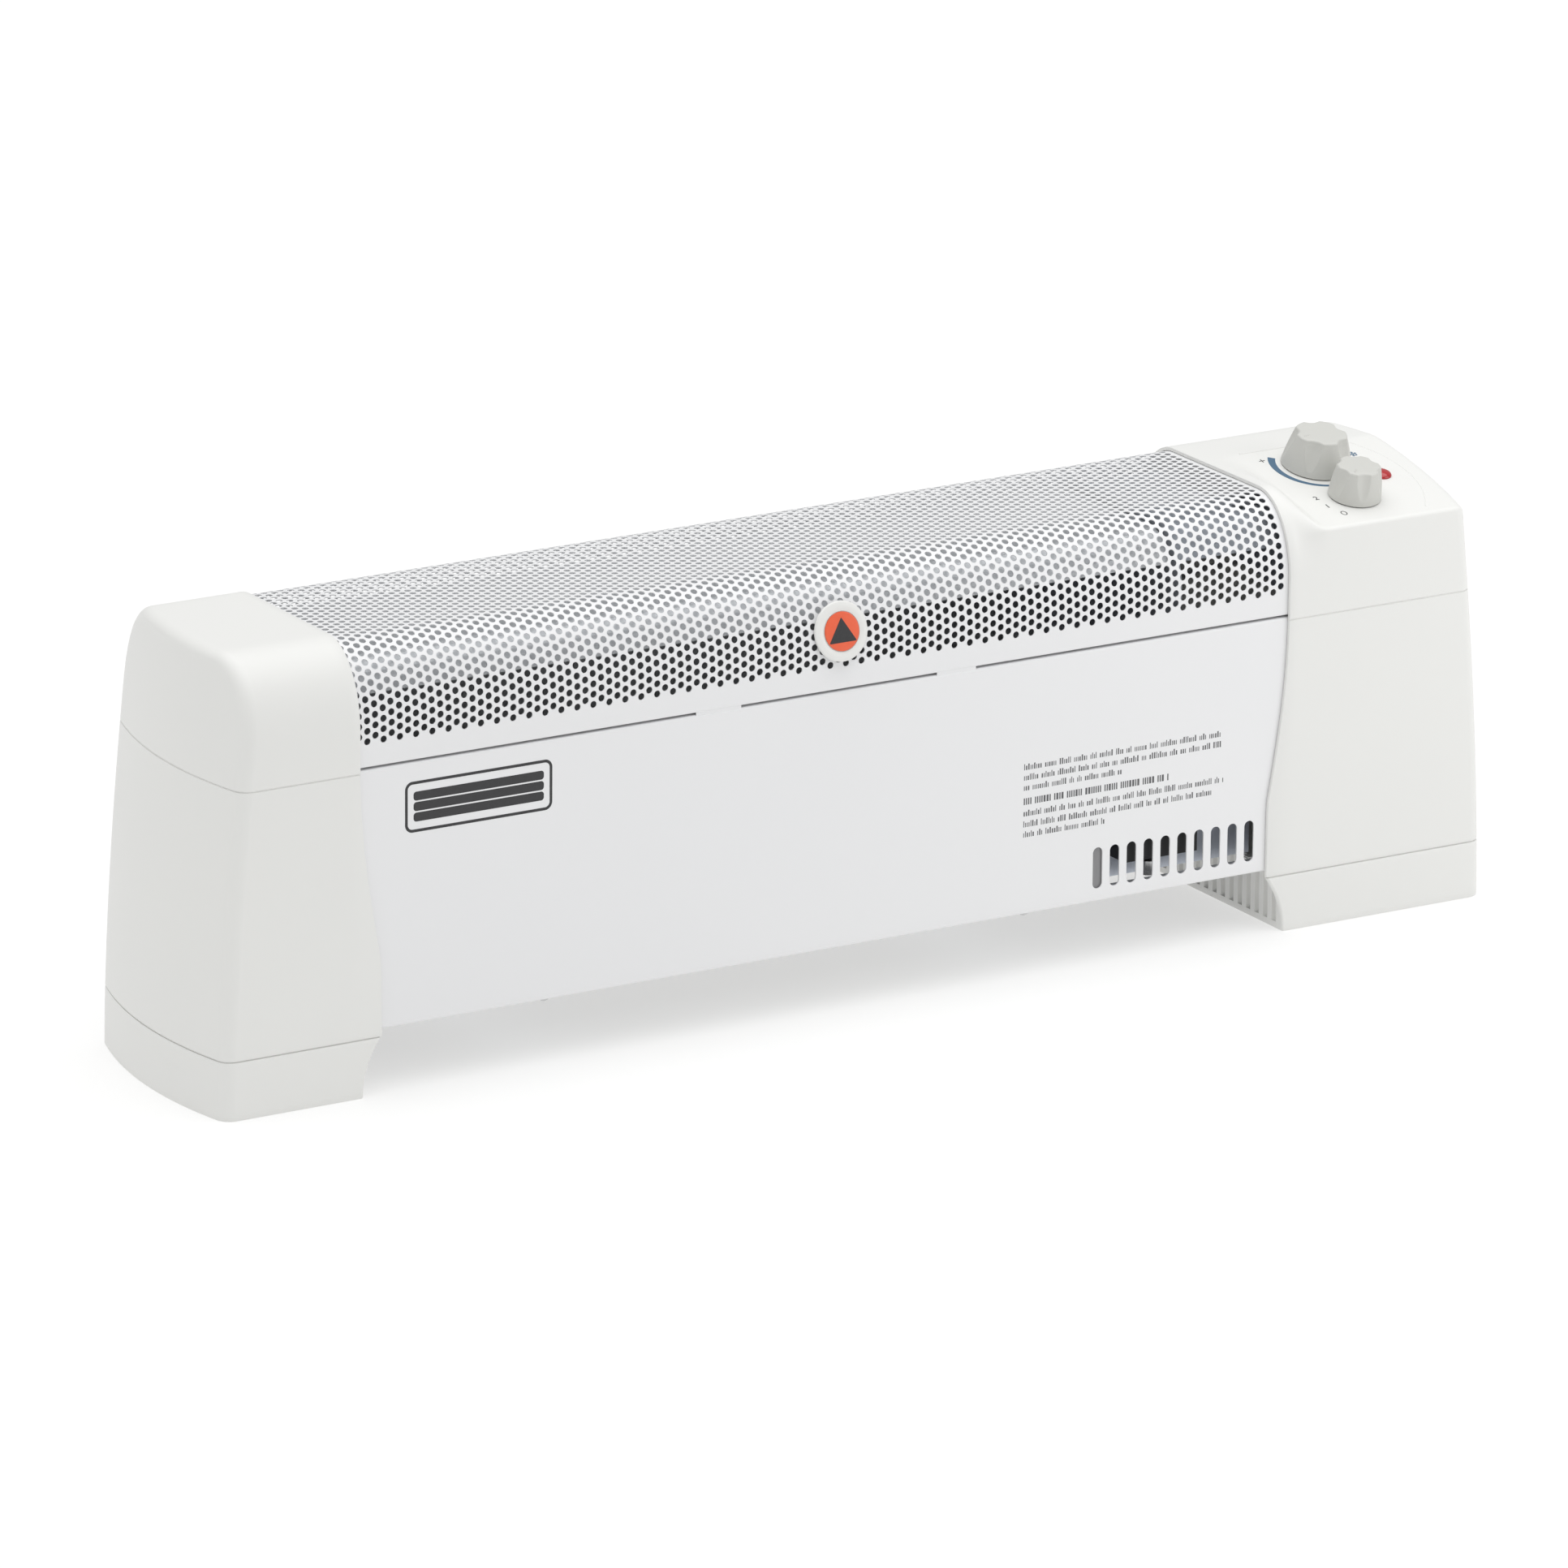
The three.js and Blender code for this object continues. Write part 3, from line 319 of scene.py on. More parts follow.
for hand in ("left", "right"):
    outer_z = [0, 0.15, 0.6, 3.6, 3.75, 4.1, 4.7, 5.6, *range(8, 29, 2), 29.7, 30.05, 30.2, 30.2, 30.7]
    outer_inset = [0.6, 0.2, 0, *[0] * 16, 0, 0.12, 0.45, 0.85, 0.9]
    outer = foot_rings(hand, outer_z, outer_inset, True)
    hollow = foot_rings(hand, [30.7, 25, 18, 10, FOOT_WALL], [FOOT_WALL] * 5, False)
    rings = np.concatenate([pole(outer[0])[None], outer, hollow, pole(hollow[-1])[None]])
    name = hand + "_foot_shell"
    foot = solid(name, rings, grid_quads(len(rings), rings.shape[1], wrap=True), shell_plastic,
                 "shell_plastic")
    for y in FOOT_SCREW_YS:
        at = np.array([SIDE[hand] * FOOT_SCREW_X, y, 0.0])
        post, faces = turned(rod(POST_R, 1, 30))
        worked(foot, "UNION", solid("post", post + at, faces))
        bore, faces = turned([(0, -1), (HEAD_R, -1), (HEAD_R, HEAD_DEPTH), (SHANK_R, HEAD_DEPTH),
                              (SHANK_R, 40), (0, 40)])
        worked(foot, "DIFFERENCE", solid("bore", bore + at, faces))
    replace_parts(foot, hand + "_foot")

# ---------------------------------------------------------------- steel screws
# Small plated screws throughout: they keep their turned shape and get a bright zinc plating with
# faint drawing marks.
plated_steel, shader, place = new_finish("plated_steel", metallic=1.0)
marks = place.stretched(1.0, 1.0, 0.2).noise(2600.0, 2.0)
feed(shader, marks.blend((0.50, 0.50, 0.50), (0.66, 0.665, 0.67)), marks * 0.2 + 0.2, marks, 0.000008)


def coated(names, finish):
    """Gives a finish to CAD nodes that keep their own shape."""
    for name in names:
        nodes[name].data.materials.clear()
        nodes[name].data.materials.append(finish)


coated([name for name in nodes if "screw_" in name or name.endswith(("_spindle", "_nut"))], plated_steel)
coated(("tip_switch_pin", "tip_switch_pendulum", "thermal_fuse"), plated_steel)

# ---------------------------------------------------------------- panels
# The front and back are folded from 0.8 mm steel sheet and powder coated cool white. Ten slots
# in the front cool the controls, and the bent-in edges stiffen each panel.
powder_white, shader, place = new_finish("powder_white")
peel = place.noise(420.0, 2.0, 0.55)
drift = place.noise(5.0, 2.0)
feed(shader, drift.blend((0.80, 0.802, 0.81), (0.825, 0.826, 0.83)), peel * 0.10 + 0.27, peel, 0.000012, 0.4)

SHEET = 0.8
PANEL_Y, PANEL_LEFT, PANEL_RIGHT = 70.4, -303.0, 253.0
PANEL_BOTTOM, PANEL_TOP = 33.8, 168.6
FLANGE_Y, RETURN_Y, FOLD_R = 50.4, 63.4, 1.3
SLOT_FIRST, SLOT_PITCH, SLOT_COUNT, SLOT_WIDTH, SLOT_HEIGHT, SLOT_Z = 135.7, 10.25, 10, 5.8, 22.0, 51.6
BRACE_SCREW_XS, BRACE_SCREW_Y = (-188.0, 94.0), -65.5


def bent(corners, radii, steps=6):
    """An open line through corners, each but the first and last rounded to its radius."""
    line = [np.array(corners[0], float)]
    for before, corner, after, radius in zip(corners, corners[1:], corners[2:], radii):
        before, corner, after = (np.array(p, float) for p in (before, corner, after))
        a, b = ((end - corner) / np.linalg.norm(end - corner) for end in (before, after))
        half = np.arccos(np.clip(a @ b, -1, 1)) / 2
        centre = corner + (a + b) / np.linalg.norm(a + b) * radius / np.sin(half)
        start, end = corner + a * radius / np.tan(half), corner + b * radius / np.tan(half)
        share = np.linspace(0, 1, steps + 1)[:, None]
        arc = start * (1 - share) + end * share - centre
        line.extend(centre + arc / np.linalg.norm(arc, axis=1)[:, None] * radius)
    line.append(np.array(corners[-1], float))
    return np.array(line)


def thickened(line, sheet):
    """A closed strip of a given thickness on the left of a line, in its own plane."""
    along = np.gradient(line, axis=0)
    along = along / np.linalg.norm(along, axis=1)[:, None]
    left = np.stack([-along[:, 1], along[:, 0]], -1)
    return np.vstack([line, (line + left * sheet)[::-1]])


# In section: a bottom flange 20 mm deep, the upright face, and a top return 7 mm deep.
folds = [(-FLANGE_Y, PANEL_BOTTOM), (-PANEL_Y, PANEL_BOTTOM), (-PANEL_Y, PANEL_TOP), (-RETURN_Y, PANEL_TOP)]
section = thickened(bent(folds, [FOLD_R, FOLD_R]), -SHEET)
front_panel = solid("front_panel_sheet", *lofted([np.insert(section, 0, x, axis=1) for x in (
    PANEL_LEFT, PANEL_RIGHT)]), powder_white, "painted_steel")
half_turn = np.linspace(0, np.pi, 17)
cap_arc = np.stack([np.cos(half_turn), np.sin(half_turn)], -1) * SLOT_WIDTH / 2
straight = (SLOT_HEIGHT - SLOT_WIDTH) / 2
outline = np.vstack([cap_arc + [0, straight], -cap_arc - [0, straight]])
for k in range(SLOT_COUNT):
    flat = outline + [SLOT_FIRST + k * SLOT_PITCH, SLOT_Z]
    tool, faces = lofted([np.insert(flat, 1, y, axis=1) for y in (-75.0, -65.0)])
    worked(front_panel, "DIFFERENCE", solid("slot", tool, faces))
for x in BRACE_SCREW_XS:
    drill, faces = turned(rod(2.0, 30, 40))
    worked(front_panel, "DIFFERENCE", solid("drill", drill + [x, BRACE_SCREW_Y, 0], faces))
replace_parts(front_panel, "front_panel")
coated(["back_panel"], powder_white)

# ---------------------------------------------------------------- printing on the front
# Screen printed ink: a nameplate that is a dark outline round three plain bars, and a block of
# small print that is only rows of plain dashes, with no letters in it.
def ink(name, dark, light):
    """Dried ink, with a fine speckle in its tone."""
    finish, shader, place = new_finish(name)
    speck = place.noise(900.0, 2.0)
    feed(shader, speck.blend(dark, light), speck * 0.2 + 0.35, speck, 0.000004)
    return finish


dark_ink = ink("dark_ink", (0.020, 0.020, 0.022), (0.035, 0.035, 0.037))
grey_ink = ink("grey_ink", (0.085, 0.085, 0.09), (0.125, 0.125, 0.13))
INK = 0.05
PLATE_LEFT, PLATE_RIGHT, PLATE_LOW, PLATE_HIGH, PLATE_ROUND, BORDER = -269.5, -186.0, 132.6, 158.8, 4.2, 1.5
BAR_FIRST_Z, BAR_PITCH, BAR_TALL, BAR_INSET, BAR_ROUND = 138.0, 5.4, 4.6, 4.8, 1.6


def rounded_box_line(x0, x1, z0, z1, radius, steps=10):
    """A closed outline of a rectangle with corners rounded to a radius."""
    quarter = np.linspace(0, np.pi / 2, steps)
    arc = np.stack([np.cos(quarter), np.sin(quarter)], -1) * radius
    quarter_turn = np.array([[0, 1], [-1, 0]])
    left, right, low, high = x0 + radius, x1 - radius, z0 + radius, z1 - radius
    centres = [(right, high), (left, high), (left, low), (right, low)]
    return np.vstack([arc @ np.linalg.matrix_power(quarter_turn, k) + centre
                      for k, centre in enumerate(centres)])


def printed_ring(outer, inner, surface_y):
    """A flat band of ink between two matching outlines, on the front panel."""
    over = surface_y - INK
    loops = [(outer, surface_y), (outer, over), (inner, over), (inner, surface_y), (outer, surface_y)]
    rows = np.stack([np.insert(line, 1, y, axis=1) for line, y in loops])
    return rows, grid_quads(len(rows), len(outer), wrap=True)


plate = [rounded_box_line(PLATE_LEFT + d, PLATE_RIGHT - d, PLATE_LOW + d, PLATE_HIGH - d, PLATE_ROUND - d)
         for d in (0, BORDER)]
solid("nameplate_border", *printed_ring(plate[0], plate[1], -PANEL_Y), dark_ink, "painted_steel")
for k in range(3):
    z = BAR_FIRST_Z + BAR_PITCH * k
    bar = rounded_box_line(PLATE_LEFT + BAR_INSET, PLATE_RIGHT - BAR_INSET, z, z + BAR_TALL, BAR_ROUND)
    middle = np.tile([[(PLATE_LEFT + PLATE_RIGHT) / 2, z + BAR_TALL / 2]], (len(bar), 1))
    solid(f"nameplate_bar_{k + 1}", *printed_ring(bar, middle, -PANEL_Y), dark_ink, "painted_steel")

rng = np.random.default_rng(7)
PRINT_LEFT, STROKE_GAP, WORD_GAP = 90.5, 0.6, 1.5
plain, heading = (2.3, 0.45), (3.5, 0.7)
# Each line's height on the panel, where it stops, and its letters' height and stroke.
lines_of_print = [(110.6, 211.0, plain), (105.1, 210.0, plain), (99.7, 150.0, plain), (92.1, 178.0, heading),
                  (86.0, 211.5, plain), (80.2, 204.5, plain), (74.8, 140.0, plain)]
boxes = []
for base, stop, (tall, stroke) in lines_of_print:
    x = PRINT_LEFT
    while x < stop:
        for _ in range(rng.integers(3, 10)):
            wide = stroke * rng.choice([1.0, 1.0, 1.7])
            high = tall * (rng.choice([1.0, 1.0, 1.4]) if stroke == plain[1] else 1.0)
            if x + wide < stop:
                boxes.append((x, x + wide, base, base + high))
            x += wide + STROKE_GAP
        x += WORD_GAP
x0, x1, z0, z1 = np.array(boxes).T
corner = np.array([[0, 0, 0], [1, 0, 0], [1, 1, 0], [0, 1, 0],
                   [0, 0, 1], [1, 0, 1], [1, 1, 1], [0, 1, 1]], float)
box_faces = np.array([[0, 3, 2, 1], [4, 5, 6, 7], [0, 1, 5, 4], [1, 2, 6, 5], [2, 3, 7, 6], [3, 0, 4, 7]])


def boxes_of(low, high):
    """Boxes between rows of low and high corners."""
    points = low[:, None] + corner[None] * (high - low)[:, None]
    faces = box_faces[None] + 8 * np.arange(len(low))[:, None, None]
    return points.reshape(-1, 3), faces.reshape(-1, 4)


low = np.column_stack([x0, np.full(len(x0), -PANEL_Y - INK), z0])
high = np.column_stack([x1, np.full(len(x1), -PANEL_Y), z1])
solid("small_print_dashes", *boxes_of(low, high), grey_ink, "painted_steel")

# ---------------------------------------------------------------- braces, partitions and shields
# Bare galvanised sheet: the bottom straps, the partitions, the switch plate, the bracket under
# the controls and the shield. Spangle shows as soft patches of tone. The air deflector is a
# brighter aluminised sheet, which throws the heat forwards. The switch plate has painted shade:
# it is coloured dark grey where it lies close behind the front panel.
galvanised, shader, place = new_finish("galvanised", metallic=0.35)
cells = place.node("TexVoronoi", {"feature": "F1"}, {"Vector": place, "Scale": 170.0}, out=1)
spangle = cells.node("RGBToBW", None, {"Color": cells})
rolling = place.stretched(0.1, 1.0, 1.0).noise(900.0, 2.0)
feed(shader, spangle.blend((0.38, 0.41, 0.455), (0.48, 0.51, 0.555)), spangle * 0.10 + rolling * 0.12 + 0.27,
     rolling, 0.000006)
bright_sheet, shader, place = new_finish("bright_sheet", metallic=0.7)
rolling = place.stretched(0.1, 1.0, 1.0).noise(700.0, 2.0)
feed(shader, rolling.blend((0.60, 0.62, 0.64), (0.72, 0.735, 0.75)), rolling * 0.14 + 0.26, rolling,
     0.000006)
switch_sheet, shader, place = new_finish("switch_sheet", metallic=0.2)
streaks = place.stretched(1.0, 1.0, 0.04).noise(700.0, 3.0)
back_from_front = place.node("SeparateXYZ", None, {"Vector": place}, out=1)
# Painted shade: the switch plate is dark grey within about 4 mm behind the front panel, where the panel
# shades it.
PANEL_SHADE_Y = -0.066
behind_panel_shade = place.maths("LESS_THAN", back_from_front, PANEL_SHADE_Y)
painted_shade = streaks.blend((0.21, 0.21, 0.215), (0.30, 0.30, 0.305))
bare = streaks.blend((0.56, 0.60, 0.68), (0.68, 0.72, 0.80))
feed(shader, behind_panel_shade.blend(bare, painted_shade), streaks * 0.2 + 0.35, streaks, 0.000006)
coated(("bottom_brace_1", "bottom_brace_2", "left_partition", "right_partition", "control_bracket",
        "controls_shield"), galvanised)
coated(["tip_switch_plate"], switch_sheet)
coated(["air_deflector"], bright_sheet)

# ---------------------------------------------------------------- heating elements
# Two sheathed rods with thin pressed aluminium fins every 5 mm. They float in ceramic bushes in
# the partitions, so that they can grow as they warm.
fin_aluminium, shader, place = new_finish("fin_aluminium", metallic=1.0)
drawn = place.stretched(1.0, 1.0, 0.06).noise(1500.0, 3.0)
feed(shader, drawn.blend((0.76, 0.77, 0.78), (0.86, 0.865, 0.87)), drawn * 0.18 + 0.25, drawn, 0.000008)
steatite, shader, place = new_finish("steatite")
pits = place.noise(1100.0, 4.0, 0.7)
feed(shader, pits.blend((0.70, 0.66, 0.57), (0.80, 0.77, 0.69)), pits * 0.25 + 0.45, pits, 0.00003)

FIN_FIRST, FIN_PITCH, FIN_COUNT = -292.0, 5.0, 95
FIN_SHEET, FIN_DEPTH, FIN_HEIGHT = 0.35, 34.0, 58.0
ROD_R, ROD_Z, ROD_Y = 4.0, 104.0, 20.0
ROD_ENDS = (-310.5, 195.0)
for letter, side in (("a", -1), ("b", 1)):
    tube, tube_faces = turned(rod(ROD_R, *ROD_ENDS), 24)
    tube = np.column_stack([tube[:, 2], tube[:, 0] + side * ROD_Y, tube[:, 1] + ROD_Z])
    starts = FIN_FIRST + FIN_PITCH * np.arange(FIN_COUNT)
    low = starts[:, None] * [1, 0, 0] + [0, side * ROD_Y - FIN_DEPTH / 2, ROD_Z - FIN_HEIGHT / 2]
    fins, fin_faces = boxes_of(low, low + [FIN_SHEET, FIN_DEPTH, FIN_HEIGHT])
    element = solid("element_" + letter, np.vstack([tube, fins]),
                    np.vstack([tube_faces, fin_faces + len(tube)]), fin_aluminium, "element_aluminium")
    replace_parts(element, "heating_element_" + letter)
coated([name for name in nodes if name.startswith("ceramic_bush")], steatite)
coated(("thermal_cutout", "neon_lamp", "terminal_block"), steatite)

# ---------------------------------------------------------------- perforated grille
# One sheet of perforated steel bent over the top from panel to panel, powder coated. Holes of
# 3.6 mm stand in upright columns 4.57 mm apart, 5.28 mm apart in each and staggered by half.
HOLE_R, COLUMN_PITCH, ROW_PITCH = 1.82, 4.573, 5.28
FIRST_COLUMN_X, COLUMN_COUNT, FIRST_HOLE_Z = -299.696, 120, 183.15
GRILLE_SHEET = 0.5
GRILLE_BOTTOM, SHOULDER_Y, SHOULDER_Z, TOP_Z = 169.8, 40.4, 189.6, 229.6
RETURN, RETURN_R = 5.8, 1.2


def grille_path():
    """The outer line in (y, z), and its length so far at each point: a return, its bend, upright, a
    quarter ellipse and flat to the middle, and the same down the back."""
    quarter = np.linspace(0, np.pi / 2, 200)
    bend = np.stack([RETURN_R - PANEL_Y - RETURN_R * np.sin(quarter),
                     GRILLE_BOTTOM + RETURN_R - RETURN_R * np.cos(quarter)], -1)
    ellipse = np.stack([-SHOULDER_Y - (PANEL_Y - SHOULDER_Y) * np.cos(quarter),
                        SHOULDER_Z + (TOP_Z - SHOULDER_Z) * np.sin(quarter)], -1)
    half = np.vstack([[[RETURN + RETURN_R - PANEL_Y, GRILLE_BOTTOM]], bend, ellipse, [[-0.001, TOP_Z]]])
    line = np.vstack([half, half[::-1] * [-1, 1]])
    return line, np.insert(np.cumsum(np.linalg.norm(np.diff(line, axis=0), axis=1)), 0, 0.0)


path_line, path_length = grille_path()


def along_path(s):
    return np.array([np.interp(s, path_length, path_line[:, k]) for k in (0, 1)])


def on_path(s, layer, step=0.05):
    """Points at lengths s along the sheet, layer times the sheet's thickness under its outer face."""
    (y, z), (dy, dz) = along_path(s), along_path(s + step) - along_path(s - step)
    under = layer * GRILLE_SHEET / np.hypot(dy, dz)
    return y + under * dz, z - under * dy


def hole_cell(sides=12):
    """Triangles between a ring of points and the six points round its cell, and where they are.
    The cell's points are its four corners and the middles of its left and right sides."""
    angle = np.arange(sides) * 2 * np.pi / sides
    ring = np.stack([np.cos(angle), np.sin(angle)], -1) * HOLE_R
    w, h = COLUMN_PITCH / 2, ROW_PITCH / 2
    edge = np.array([[w, 0], [w, h], [-w, h], [-w, 0], [-w, -h], [w, -h]])
    edge_angle = np.arctan2(edge[:, 1], edge[:, 0]) % (2 * np.pi)
    triangles, i, j = [], 0, 0
    while i < sides or j < 6:
        next_ring = angle[i % sides] + 2 * np.pi * (i // sides) + np.pi / sides
        next_edge = edge_angle[j % 6] + 2 * np.pi * (j // 6)
        next_edge = (next_edge + edge_angle[(j + 1) % 6] + 2 * np.pi * ((j + 1) // 6)) / 2
        if i < sides and (next_ring <= next_edge or j == 6):
            triangles.append((i % sides, sides + j % 6, (i + 1) % sides))
            i += 1
        else:
            triangles.append((i % sides, sides + j % 6, sides + (j + 1) % 6))
            j += 1
    return ring, np.array(triangles)


def perforated(columns, left_margin, right_margin, first_s, cells):
    """A closed sheet: lattice points every half pitch along the sheet at each column boundary, a ring
    of points for each hole, and plain strips beyond the first and last holes and at both ends."""
    ring, cell = hole_cell()
    sides = len(ring)
    half = ROW_PITCH / 2
    last_s = first_s + half * (2 * cells + 1)
    below = np.concatenate([[0.0, RETURN - 0.8], RETURN + np.linspace(0, 2.2, 7),
                            np.linspace(9.5, first_s, 3)])
    plain = path_length[-1] - below[::-1]
    lattice = first_s + half * np.arange(2 * cells + 2)
    levels = np.concatenate([below[:-1], lattice, plain[plain > last_s + 0.5]])
    start = len(below) - 1
    lines = FIRST_COLUMN_X + COLUMN_PITCH * (columns[0] - 0.5 + np.arange(len(columns) + 1))
    lines = np.concatenate([[left_margin] if left_margin is not None else [], lines,
                            [right_margin] if right_margin is not None else []])
    shift = 0 if left_margin is None else 1
    rows = len(levels)
    x_grid, s_grid = np.meshgrid(lines, levels, indexing="ij")
    ring_x, ring_s, triangles, walls, quads = [], [], [], [], []
    base = x_grid.size
    for c, column in enumerate(columns):
        odd = column % 2
        k = np.arange(cells)
        centre_s = first_s + half * (2 * k + 1 + odd)
        ring_x.append(np.tile(FIRST_COLUMN_X + COLUMN_PITCH * column + ring[:, 0], (cells, 1)))
        ring_s.append(centre_s[:, None] + ring[None, :, 1])
        own = base + (c * cells + k)[:, None] * sides + np.arange(sides)[None]
        left, right = (c + shift) * rows, (c + shift + 1) * rows
        m = start + 2 * k + odd
        rim = np.stack([right + m + 1, right + m + 2, left + m + 2, left + m + 1, left + m, right + m], -1)
        table = np.hstack([own, rim])
        triangles.append(table[:, cell].reshape(-1, 3))
        walls.append(np.stack([own, np.roll(own, -1, axis=1)], -1).reshape(-1, 2))
        spare = start + (0 if odd else 2 * cells)
        bare = np.concatenate([np.arange(start), [spare], np.arange(start + 2 * cells + 1, rows - 1)])
        quads.append(np.stack([left + bare, right + bare, right + bare + 1, left + bare + 1], -1))
    for c in ([0] if shift else []) + ([len(lines) - 2] if right_margin is not None else []):
        left, right = c * rows + np.arange(rows - 1), (c + 1) * rows + np.arange(rows - 1)
        quads.append(np.stack([left, right, right + 1, left + 1], -1))
    x = np.concatenate([x_grid.ravel(), np.concatenate(ring_x).ravel()])
    s = np.concatenate([s_grid.ravel(), np.concatenate(ring_s).ravel()])
    total = len(x)
    points = np.vstack([np.column_stack([x, *on_path(s, layer)]) for layer in (0, 1)])
    triangles, walls, quads = np.vstack(triangles), np.vstack(walls), np.vstack(quads)
    bottom, top = np.arange(len(lines)) * rows, np.arange(len(lines)) * rows + rows - 1
    first, last = np.arange(rows), (len(lines) - 1) * rows + np.arange(rows)
    border = np.vstack([np.stack([line[:-1], line[1:]], -1)
                        for line in (bottom, top[::-1], first[::-1], last)])
    rim_walls = np.vstack([walls[:, ::-1], border])
    joined = np.column_stack([rim_walls, rim_walls[:, ::-1] + total])[:, [0, 3, 2, 1]]
    faces = [*triangles.tolist(), *(triangles[:, ::-1] + total).tolist(), *quads.tolist(),
             *(quads[:, ::-1] + total).tolist(), *joined.tolist()]
    return points, faces


upright_start = RETURN + RETURN_R * np.pi / 2
first_lattice = upright_start + (FIRST_HOLE_Z - ROW_PITCH / 2) - (GRILLE_BOTTOM + RETURN_R)
cell_count = int((path_length[-1] - 2 * first_lattice) // ROW_PITCH)
all_columns, middle = np.arange(COLUMN_COUNT), COLUMN_COUNT // 2
halves = [(all_columns[:middle], PANEL_LEFT, None, "left"),
          (all_columns[middle:], None, PANEL_RIGHT, "right")]
for columns, left_margin, right_margin, hand in halves:
    points, faces = perforated(columns, left_margin, right_margin, first_lattice, cell_count)
    sheet = solid("grille_sheet_" + hand, points, faces, powder_white, "painted_steel", crease=40,
                  tidy=False)
    sheet.data.validate()
    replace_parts(sheet, "top_grille")
# Two tabs of the grille come down over the joint with the panel.
for k, (x0, x1) in enumerate(((-103.0, -77.0), (38.0, 61.0))):
    tab, faces = boxes_of(np.array([[x0, -70.0, 167.6]]), np.array([[x1, -69.3, 170.9]]))
    solid(f"seam_tab_{k + 1}", tab, faces, powder_white, "painted_steel")

# ---------------------------------------------------------------- badge
# A moulded white button snapped onto the rounded corner of the grille, with a printed orange disc
# let into it. The disc carries a plain dark triangle and nothing else.
label_orange, shader, place = new_finish("label_orange", coat_weight=0.25, coat_roughness=0.25)
mottle = place.noise(300.0, 3.0)
feed(shader, mottle.blend((0.78, 0.105, 0.035), (0.84, 0.13, 0.05)), mottle * 0.12 + 0.33, mottle, 0.000008)
BADGE_X, BADGE_Z, RING_R, RIM, DISC_R, DISC_TOP = -19.5, 200.0, 15.4, 1.2, 10.0, 2.6
rise = (BADGE_Z - SHOULDER_Z) / (TOP_Z - SHOULDER_Z)
badge_y = -SHOULDER_Y - (PANEL_Y - SHOULDER_Y) * np.sqrt(1 - rise**2)
tilt = np.arctan2(rise / (TOP_Z - SHOULDER_Z), np.sqrt(1 - rise**2) / (PANEL_Y - SHOULDER_Y))


def on_badge(points):
    """From the badge's own frame, +X along the heater, +Y up its face and +Z out of it."""
    x, y, z = np.reshape(points, (-1, 3)).T
    return np.column_stack([BADGE_X + x, badge_y - z * np.cos(tilt) + y * np.sin(tilt),
                            BADGE_Z + y * np.cos(tilt) + z * np.sin(tilt)])


quarter = np.linspace(0, np.pi / 2, 9)
dome = [(RING_R - RIM + RIM * np.cos(q), RIM + 0.9 * np.sin(q)) for q in quarter]
crown = [(RING_R - RIM - 3.6 * t, 2.1 + 0.65 * np.sin(np.pi * (0.25 + 0.6 * t)) - 0.46)
         for t in np.linspace(0.15, 1, 8)]
ring_profile = [(0, 0.3), (RING_R - 0.6, 0.3), (RING_R, 0.9), *dome, *crown, (DISC_R + 0.35, 2.25),
                (DISC_R + 0.3, 1.9), (0, 1.9)]
button, faces = turned(ring_profile, 72)
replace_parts(solid("badge_ring", on_badge(button), faces, shell_plastic, "shell_plastic"), "badge_button")
disc_profile = [(0, 2.2), (DISC_R, 2.2), (DISC_R, 2.4), (DISC_R - 0.25, 2.56), (DISC_R - 0.8, DISC_TOP),
                (0, DISC_TOP)]
disc, faces = turned(disc_profile, 72)
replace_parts(solid("badge_label", on_badge(disc), faces, label_orange, "label_orange"), "badge_disc")
apex, foot_z, half_width, soft = 7.2, -5.6, 8.0, 0.35
corners = np.array([[0, apex], [-half_width, foot_z], [half_width, foot_z]])
centre = corners.mean(0)
triangle = []
for tip in corners:
    inwards = (centre - tip) / np.linalg.norm(centre - tip)
    facing = np.arctan2(*(-inwards)[::-1])
    arc = facing + np.linspace(-1.05, 1.05, 7)
    triangle.append(tip + inwards * soft * 2 + soft * np.stack([np.cos(arc), np.sin(arc)], -1))
slab, faces = lofted([np.insert(np.vstack(triangle), 2, h, axis=1) for h in (DISC_TOP, DISC_TOP + 0.06)])
solid("badge_triangle", on_badge(slab), faces, dark_ink, "label_orange")

# ---------------------------------------------------------------- end caps
# Each cap is one deep moulding in warm white plastic, open towards the body and below. A groove
# runs round it at the height of the panel joint. The right cap's top slopes to the controls.
CAP_HEIGHT, CORNER_Y, CORNER_Z, WALL = 231.7, 32.1, 42.1, 1.8
CAP_BOTTOM, GROOVE_Z, POLE_Z = 30.8, 167.6, 169.2
CREASE_Z, SLOPE, MORPH = 213.1, 0.22, (254.0, 272.0)
CREASE_ANGLE, CREASE_R, CREASE_FROM, CREASE_TO = np.arctan(SLOPE), 2.2, 0.34, 0.62
LINE_DEPTH, LINE_HALF = 0.55, 0.5
INNER_HIGH = {"left": 295.4, "right": 249.0}
CURVE = {"left": (68.0, 168.0), "right": (70.0, 168.0)}


def smooth(t):
    t = np.clip(t, 0, 1)
    return t * t * (3 - 2 * t)


